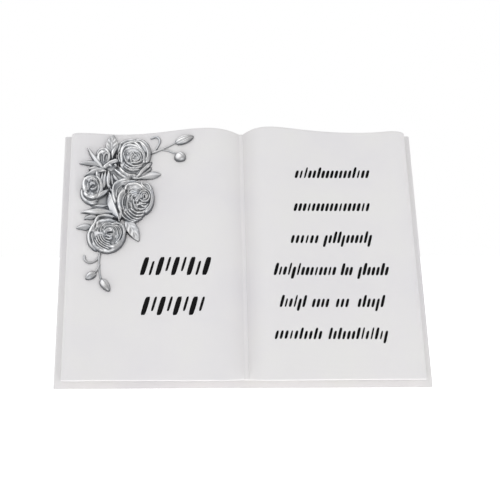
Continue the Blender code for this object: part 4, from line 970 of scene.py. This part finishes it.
def largest_body(obj):
    """Drops every loose body but the largest."""
    bm = bmesh.new()
    bm.from_mesh(obj.data)
    left = set(bm.verts)
    groups = []
    while left:
        start = left.pop()
        group, todo = [start], [start]
        while todo:
            for e in todo.pop().link_edges:
                for p in e.verts:
                    if p in left:
                        left.remove(p)
                        group.append(p)
                        todo.append(p)
        groups.append(group)
    groups.sort(key=len, reverse=True)
    for g in groups[1:]:
        bmesh.ops.delete(bm, geom=g, context="VERTS")
    bm.to_mesh(obj.data)
    bm.free()
    return len(groups)


ROOM = 0.515
SUN = 0.28
SUN_WAY = (0.20, 0.30, -1.0)
# name, place, aim, size, watts; and whether the metal mirrors it
PANELS = [
    (("key", (-0.85, -0.90, 0.85), (0.0, 0.0, 0.06), (0.95, 0.80), 1.3), False),
    (("fill", (0.95, -0.85, 0.45), (0.0, 0.0, 0.06), (0.40, 0.70), 1.5), False),
    (("low", (0.0, -1.10, 0.06), (0.0, 0.0, 0.02), (1.10, 0.10), 1.2), False),
    (("rear", (0.2, 1.0, 0.8), (0.0, 0.0, 0.05), (0.8, 0.5), 1.2), False),
]
BRIGHT_SIDE = (-0.80, -0.12, 0.56)
MIRRORED = [(0.0, 0.42), (0.42, 0.50), (0.62, 0.78), (0.84, 1.0)]
FLOOR_GLOW = 0.72
LOW_GLINT = ((0.10, -0.62, -0.78), [(0.84, 0.0), (0.97, 0.75)])


# ---------------------------------------------------------------- materials
def nodes_of(name):
    m = bpy.data.materials.new(name)
    m.use_nodes = True
    t = m.node_tree
    return m, t, next(n for n in t.nodes if n.type == "BSDF_PRINCIPLED")


def link(t, a, b):
    t.links.new(a, b)


def add(t, kind, **values):
    node = t.nodes.new(kind)
    for k, v in values.items():
        if k in node.inputs:
            node.inputs[k].default_value = v
        else:
            setattr(node, k, v)
    return node


def ramp(t, source, stops):
    r = t.nodes.new("ShaderNodeValToRGB")
    r.color_ramp.elements[0].position, r.color_ramp.elements[0].color = stops[0][0], (*stops[0][1], 1.0)
    r.color_ramp.elements[1].position, r.color_ramp.elements[1].color = stops[-1][0], (*stops[-1][1], 1.0)
    for at, colour in stops[1:-1]:
        r.color_ramp.elements.new(at).color = (*colour, 1.0)
    link(t, source, r.inputs["Fac"])
    return r.outputs["Color"]


def white_cast():
    """White cast resin stone: satin, with faint warm and cool clouds, a fine grain and painted shade in its creases.
    """
    m, t, b = nodes_of("white_cast")
    at = add(t, "ShaderNodeTexCoord").outputs["Object"]
    cloud = add(t, "ShaderNodeTexNoise", Scale=26.0, Detail=4.0, Roughness=0.55)
    link(t, at, cloud.inputs["Vector"])
    base = ramp(t, cloud.outputs["Fac"], [(0.30, (0.770, 0.755, 0.765)), (0.50, (0.790, 0.775, 0.775)), (0.72, (0.800, 0.790, 0.775))])
    grain = add(t, "ShaderNodeTexNoise", Scale=900.0, Detail=3.0, Roughness=0.6)
    link(t, at, grain.inputs["Vector"])
    rough = add(t, "ShaderNodeMapRange")
    rough.inputs["To Min"].default_value, rough.inputs["To Max"].default_value = 0.40, 0.54
    link(t, cloud.outputs["Fac"], rough.inputs["Value"])
    bump = add(t, "ShaderNodeBump", Strength=0.10, Distance=0.0002)
    link(t, grain.outputs["Fac"], bump.inputs["Height"])
    # painted shade: concave spots, read by their pointiness, are darkened a little
    geo = add(t, "ShaderNodeNewGeometry")
    fold = add(t, "ShaderNodeMapRange")
    fold.inputs["From Min"].default_value, fold.inputs["From Max"].default_value = 0.40, 0.50
    fold.inputs["To Min"].default_value, fold.inputs["To Max"].default_value = 0.95, 1.0
    link(t, geo.outputs["Pointiness"], fold.inputs["Value"])
    mix = add(t, "ShaderNodeMix", data_type="RGBA", blend_type="MULTIPLY")
    mix.inputs[0].default_value = 1.0
    link(t, base, mix.inputs[6])
    link(t, fold.outputs["Result"], mix.inputs[7])
    link(t, mix.outputs[2], b.inputs["Base Color"])
    link(t, rough.outputs["Result"], b.inputs["Roughness"])
    link(t, bump.outputs["Normal"], b.inputs["Normal"])
    b.inputs["Specular IOR Level"].default_value = 0.35
    b.inputs["Subsurface Weight"].default_value = 0.0
    return m


def silver_finish():
    """Bright silver coat over the casting: smoother on its rims and rougher in the folds, with painted shade darkening
    the folds and a painted highlight lightening the rims.
    """
    m, t, b = nodes_of("silver_finish")
    at = add(t, "ShaderNodeTexCoord").outputs["Object"]
    deep = add(t, "ShaderNodeAttribute", attribute_name="fold", attribute_type="GEOMETRY").outputs["Fac"]
    cloud = add(t, "ShaderNodeTexNoise", Scale=160.0, Detail=5.0, Roughness=0.6)
    link(t, at, cloud.inputs["Vector"])
    # the tone ramp paints shade where the painted light value is low and a highlight where it is high
    tone = ramp(t, deep, [(0.0, (0.22, 0.225, 0.235)), (0.28, (0.42, 0.43, 0.44)), (0.55, (0.70, 0.70, 0.71)), (0.95, (0.97, 0.97, 0.97))])
    patch = ramp(t, cloud.outputs["Fac"], [(0.32, (0.86, 0.88, 0.91)), (0.55, (1.0, 1.0, 1.0)), (0.75, (0.95, 0.94, 0.93))])
    mix = add(t, "ShaderNodeMix", data_type="RGBA", blend_type="MULTIPLY")
    mix.inputs[0].default_value = 1.0
    link(t, tone, mix.inputs[6])
    link(t, patch, mix.inputs[7])
    link(t, mix.outputs[2], b.inputs["Base Color"])
    rough = add(t, "ShaderNodeMapRange")
    rough.inputs["To Min"].default_value, rough.inputs["To Max"].default_value = 0.42, 0.20
    link(t, deep, rough.inputs["Value"])
    link(t, rough.outputs["Result"], b.inputs["Roughness"])
    fine = add(t, "ShaderNodeTexNoise", Scale=1500.0, Detail=3.0, Roughness=0.6)
    link(t, at, fine.inputs["Vector"])
    bump = add(t, "ShaderNodeBump", Strength=0.18, Distance=0.00015)
    link(t, fine.outputs["Fac"], bump.inputs["Height"])
    link(t, bump.outputs["Normal"], b.inputs["Normal"])
    b.inputs["Metallic"].default_value = 1.0
    return m


def black_print():
    """Black print on the pages, slightly uneven in tone and gloss."""
    m, t, b = nodes_of("black_print")
    at = add(t, "ShaderNodeTexCoord").outputs["Object"]
    cloud = add(t, "ShaderNodeTexNoise", Scale=420.0, Detail=4.0, Roughness=0.6)
    link(t, at, cloud.inputs["Vector"])
    link(t, ramp(t, cloud.outputs["Fac"], [(0.35, (0.0025, 0.0025, 0.003)), (0.70, (0.006, 0.0055, 0.006))]), b.inputs["Base Color"])
    rough = add(t, "ShaderNodeMapRange")
    rough.inputs["To Min"].default_value, rough.inputs["To Max"].default_value = 0.58, 0.74
    link(t, cloud.outputs["Fac"], rough.inputs["Value"])
    link(t, rough.outputs["Result"], b.inputs["Roughness"])
    bump = add(t, "ShaderNodeBump", Strength=0.10, Distance=0.0001)
    link(t, cloud.outputs["Fac"], bump.inputs["Height"])
    link(t, bump.outputs["Normal"], b.inputs["Normal"])
    b.inputs["Specular IOR Level"].default_value = 0.12
    return m


def pale_floor():
    m, t, b = nodes_of("pale_floor")
    b.inputs["Base Color"].default_value = (0.93, 0.93, 0.93, 1.0)
    b.inputs["Roughness"].default_value = 0.9
    b.inputs["Specular IOR Level"].default_value = 0.0
    b.inputs["Emission Color"].default_value = (1.0, 1.0, 1.0, 1.0)
    b.inputs["Emission Strength"].default_value = FLOOR_GLOW
    return m


# ---------------------------------------------------------------- the object
book = make_book()
book.data.materials.clear()
book.data.materials.append(white_cast())
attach(book, "root")
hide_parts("book")

spray = make_spray()
spray.data.materials.clear()
spray.data.materials.append(silver_finish())
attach(spray, "root")
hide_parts("rose_spray")

strokes = make_strokes()
strokes.data.materials.append(black_print())
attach(strokes, "root")

# ---------------------------------------------------------------- studio
bm = bmesh.new()
bmesh.ops.create_circle(bm, cap_ends=True, segments=96, radius=9.0)
floor = object_from(bm, "floor")
floor.location.z = -0.0002
floor.data.materials.append(pale_floor())
floor.visible_glossy = False            # the metal mirrors the room's gradient below it too

world = bpy.data.worlds.new("studio")
bpy.context.scene.world = world
world.use_nodes = True
t = world.node_tree
t.nodes.clear()
out = t.nodes.new("ShaderNodeOutputWorld")
room = add(t, "ShaderNodeBackground", Strength=ROOM)
room.inputs["Color"].default_value = (0.97, 0.98, 1.0, 1.0)
seen = add(t, "ShaderNodeBackground", Strength=1.0)
seen.inputs["Color"].default_value = (1.0, 1.0, 1.0, 1.0)
# what the metal mirrors: a bright side in front on the left, a dim room above and behind
toward = add(t, "ShaderNodeVectorMath", operation="DOT_PRODUCT")
link(t, add(t, "ShaderNodeTexCoord").outputs["Generated"], toward.inputs[0])
toward.inputs[1].default_value = Vector(BRIGHT_SIDE).normalized()
mirrored = add(t, "ShaderNodeBackground", Strength=1.22)
low = add(t, "ShaderNodeVectorMath", operation="DOT_PRODUCT")
link(t, add(t, "ShaderNodeTexCoord").outputs["Generated"], low.inputs[0])
low.inputs[1].default_value = Vector(LOW_GLINT[0]).normalized()
both = add(t, "ShaderNodeMix", data_type="RGBA", blend_type="ADD")
both.inputs[0].default_value = 1.0
link(t, ramp(t, toward.outputs["Value"], [(a, (v, v, v)) for a, v in MIRRORED]), both.inputs[6])
link(t, ramp(t, low.outputs["Value"], [(a, (v, v, v)) for a, v in LOW_GLINT[1]]), both.inputs[7])
link(t, both.outputs[2], mirrored.inputs["Color"])
way = add(t, "ShaderNodeLightPath")
polish = add(t, "ShaderNodeMixShader")
link(t, way.outputs["Is Glossy Ray"], polish.inputs[0])
link(t, room.outputs[0], polish.inputs[1])
link(t, mirrored.outputs[0], polish.inputs[2])
pick = add(t, "ShaderNodeMixShader")
link(t, way.outputs["Is Camera Ray"], pick.inputs[0])
link(t, polish.outputs[0], pick.inputs[1])
link(t, seen.outputs[0], pick.inputs[2])
link(t, pick.outputs[0], out.inputs["Surface"])


def panel(name, at, look, size, watts, colour=(1.0, 1.0, 1.0)):
    data = bpy.data.lights.new(name, "AREA")
    data.shape, data.size, data.size_y = "RECTANGLE", size[0], size[1]
    data.energy, data.color = watts, colour
    obj = bpy.data.objects.new(name, data)
    bpy.context.scene.collection.objects.link(obj)
    obj.location = at
    obj.rotation_euler = (Vector(look) - Vector(at)).to_track_quat("-Z", "Y").to_euler()
    return obj


for spec, shown in PANELS:
    panel(*spec).visible_glossy = shown
sky = bpy.data.lights.new("sky", "SUN")
sky.energy, sky.angle = SUN, math.radians(60.0)
above = bpy.data.objects.new("sky", sky)
bpy.context.scene.collection.objects.link(above)
above.rotation_euler = Vector(SUN_WAY).to_track_quat("-Z", "Y").to_euler()
above.visible_glossy = False

# ---------------------------------------------------------------- camera at the photograph's viewing angle
lens = bpy.data.cameras.new("camera")
lens.sensor_width, lens.lens, lens.shift_x = 36.0, 90.29, 0.08
lens.clip_start, lens.clip_end = 0.01, 60.0
camera = bpy.data.objects.new("camera", lens)
bpy.context.scene.collection.objects.link(camera)
camera.location = (-0.02941, BACK * MM - 0.65822, 0.07401)
pan, tilt = math.radians(1.04), math.radians(0.11)
ahead = Vector((math.sin(pan) * math.cos(tilt), math.cos(pan) * math.cos(tilt), -math.sin(tilt)))
camera.rotation_mode = "QUATERNION"
camera.rotation_quaternion = ahead.to_track_quat("-Z", "Y") @ Quaternion((0.0, 0.0, 1.0), math.radians(-0.16))
bpy.context.scene.camera = camera
bpy.context.scene.view_settings.view_transform = "Standard"
bpy.context.scene.view_settings.look = "None"
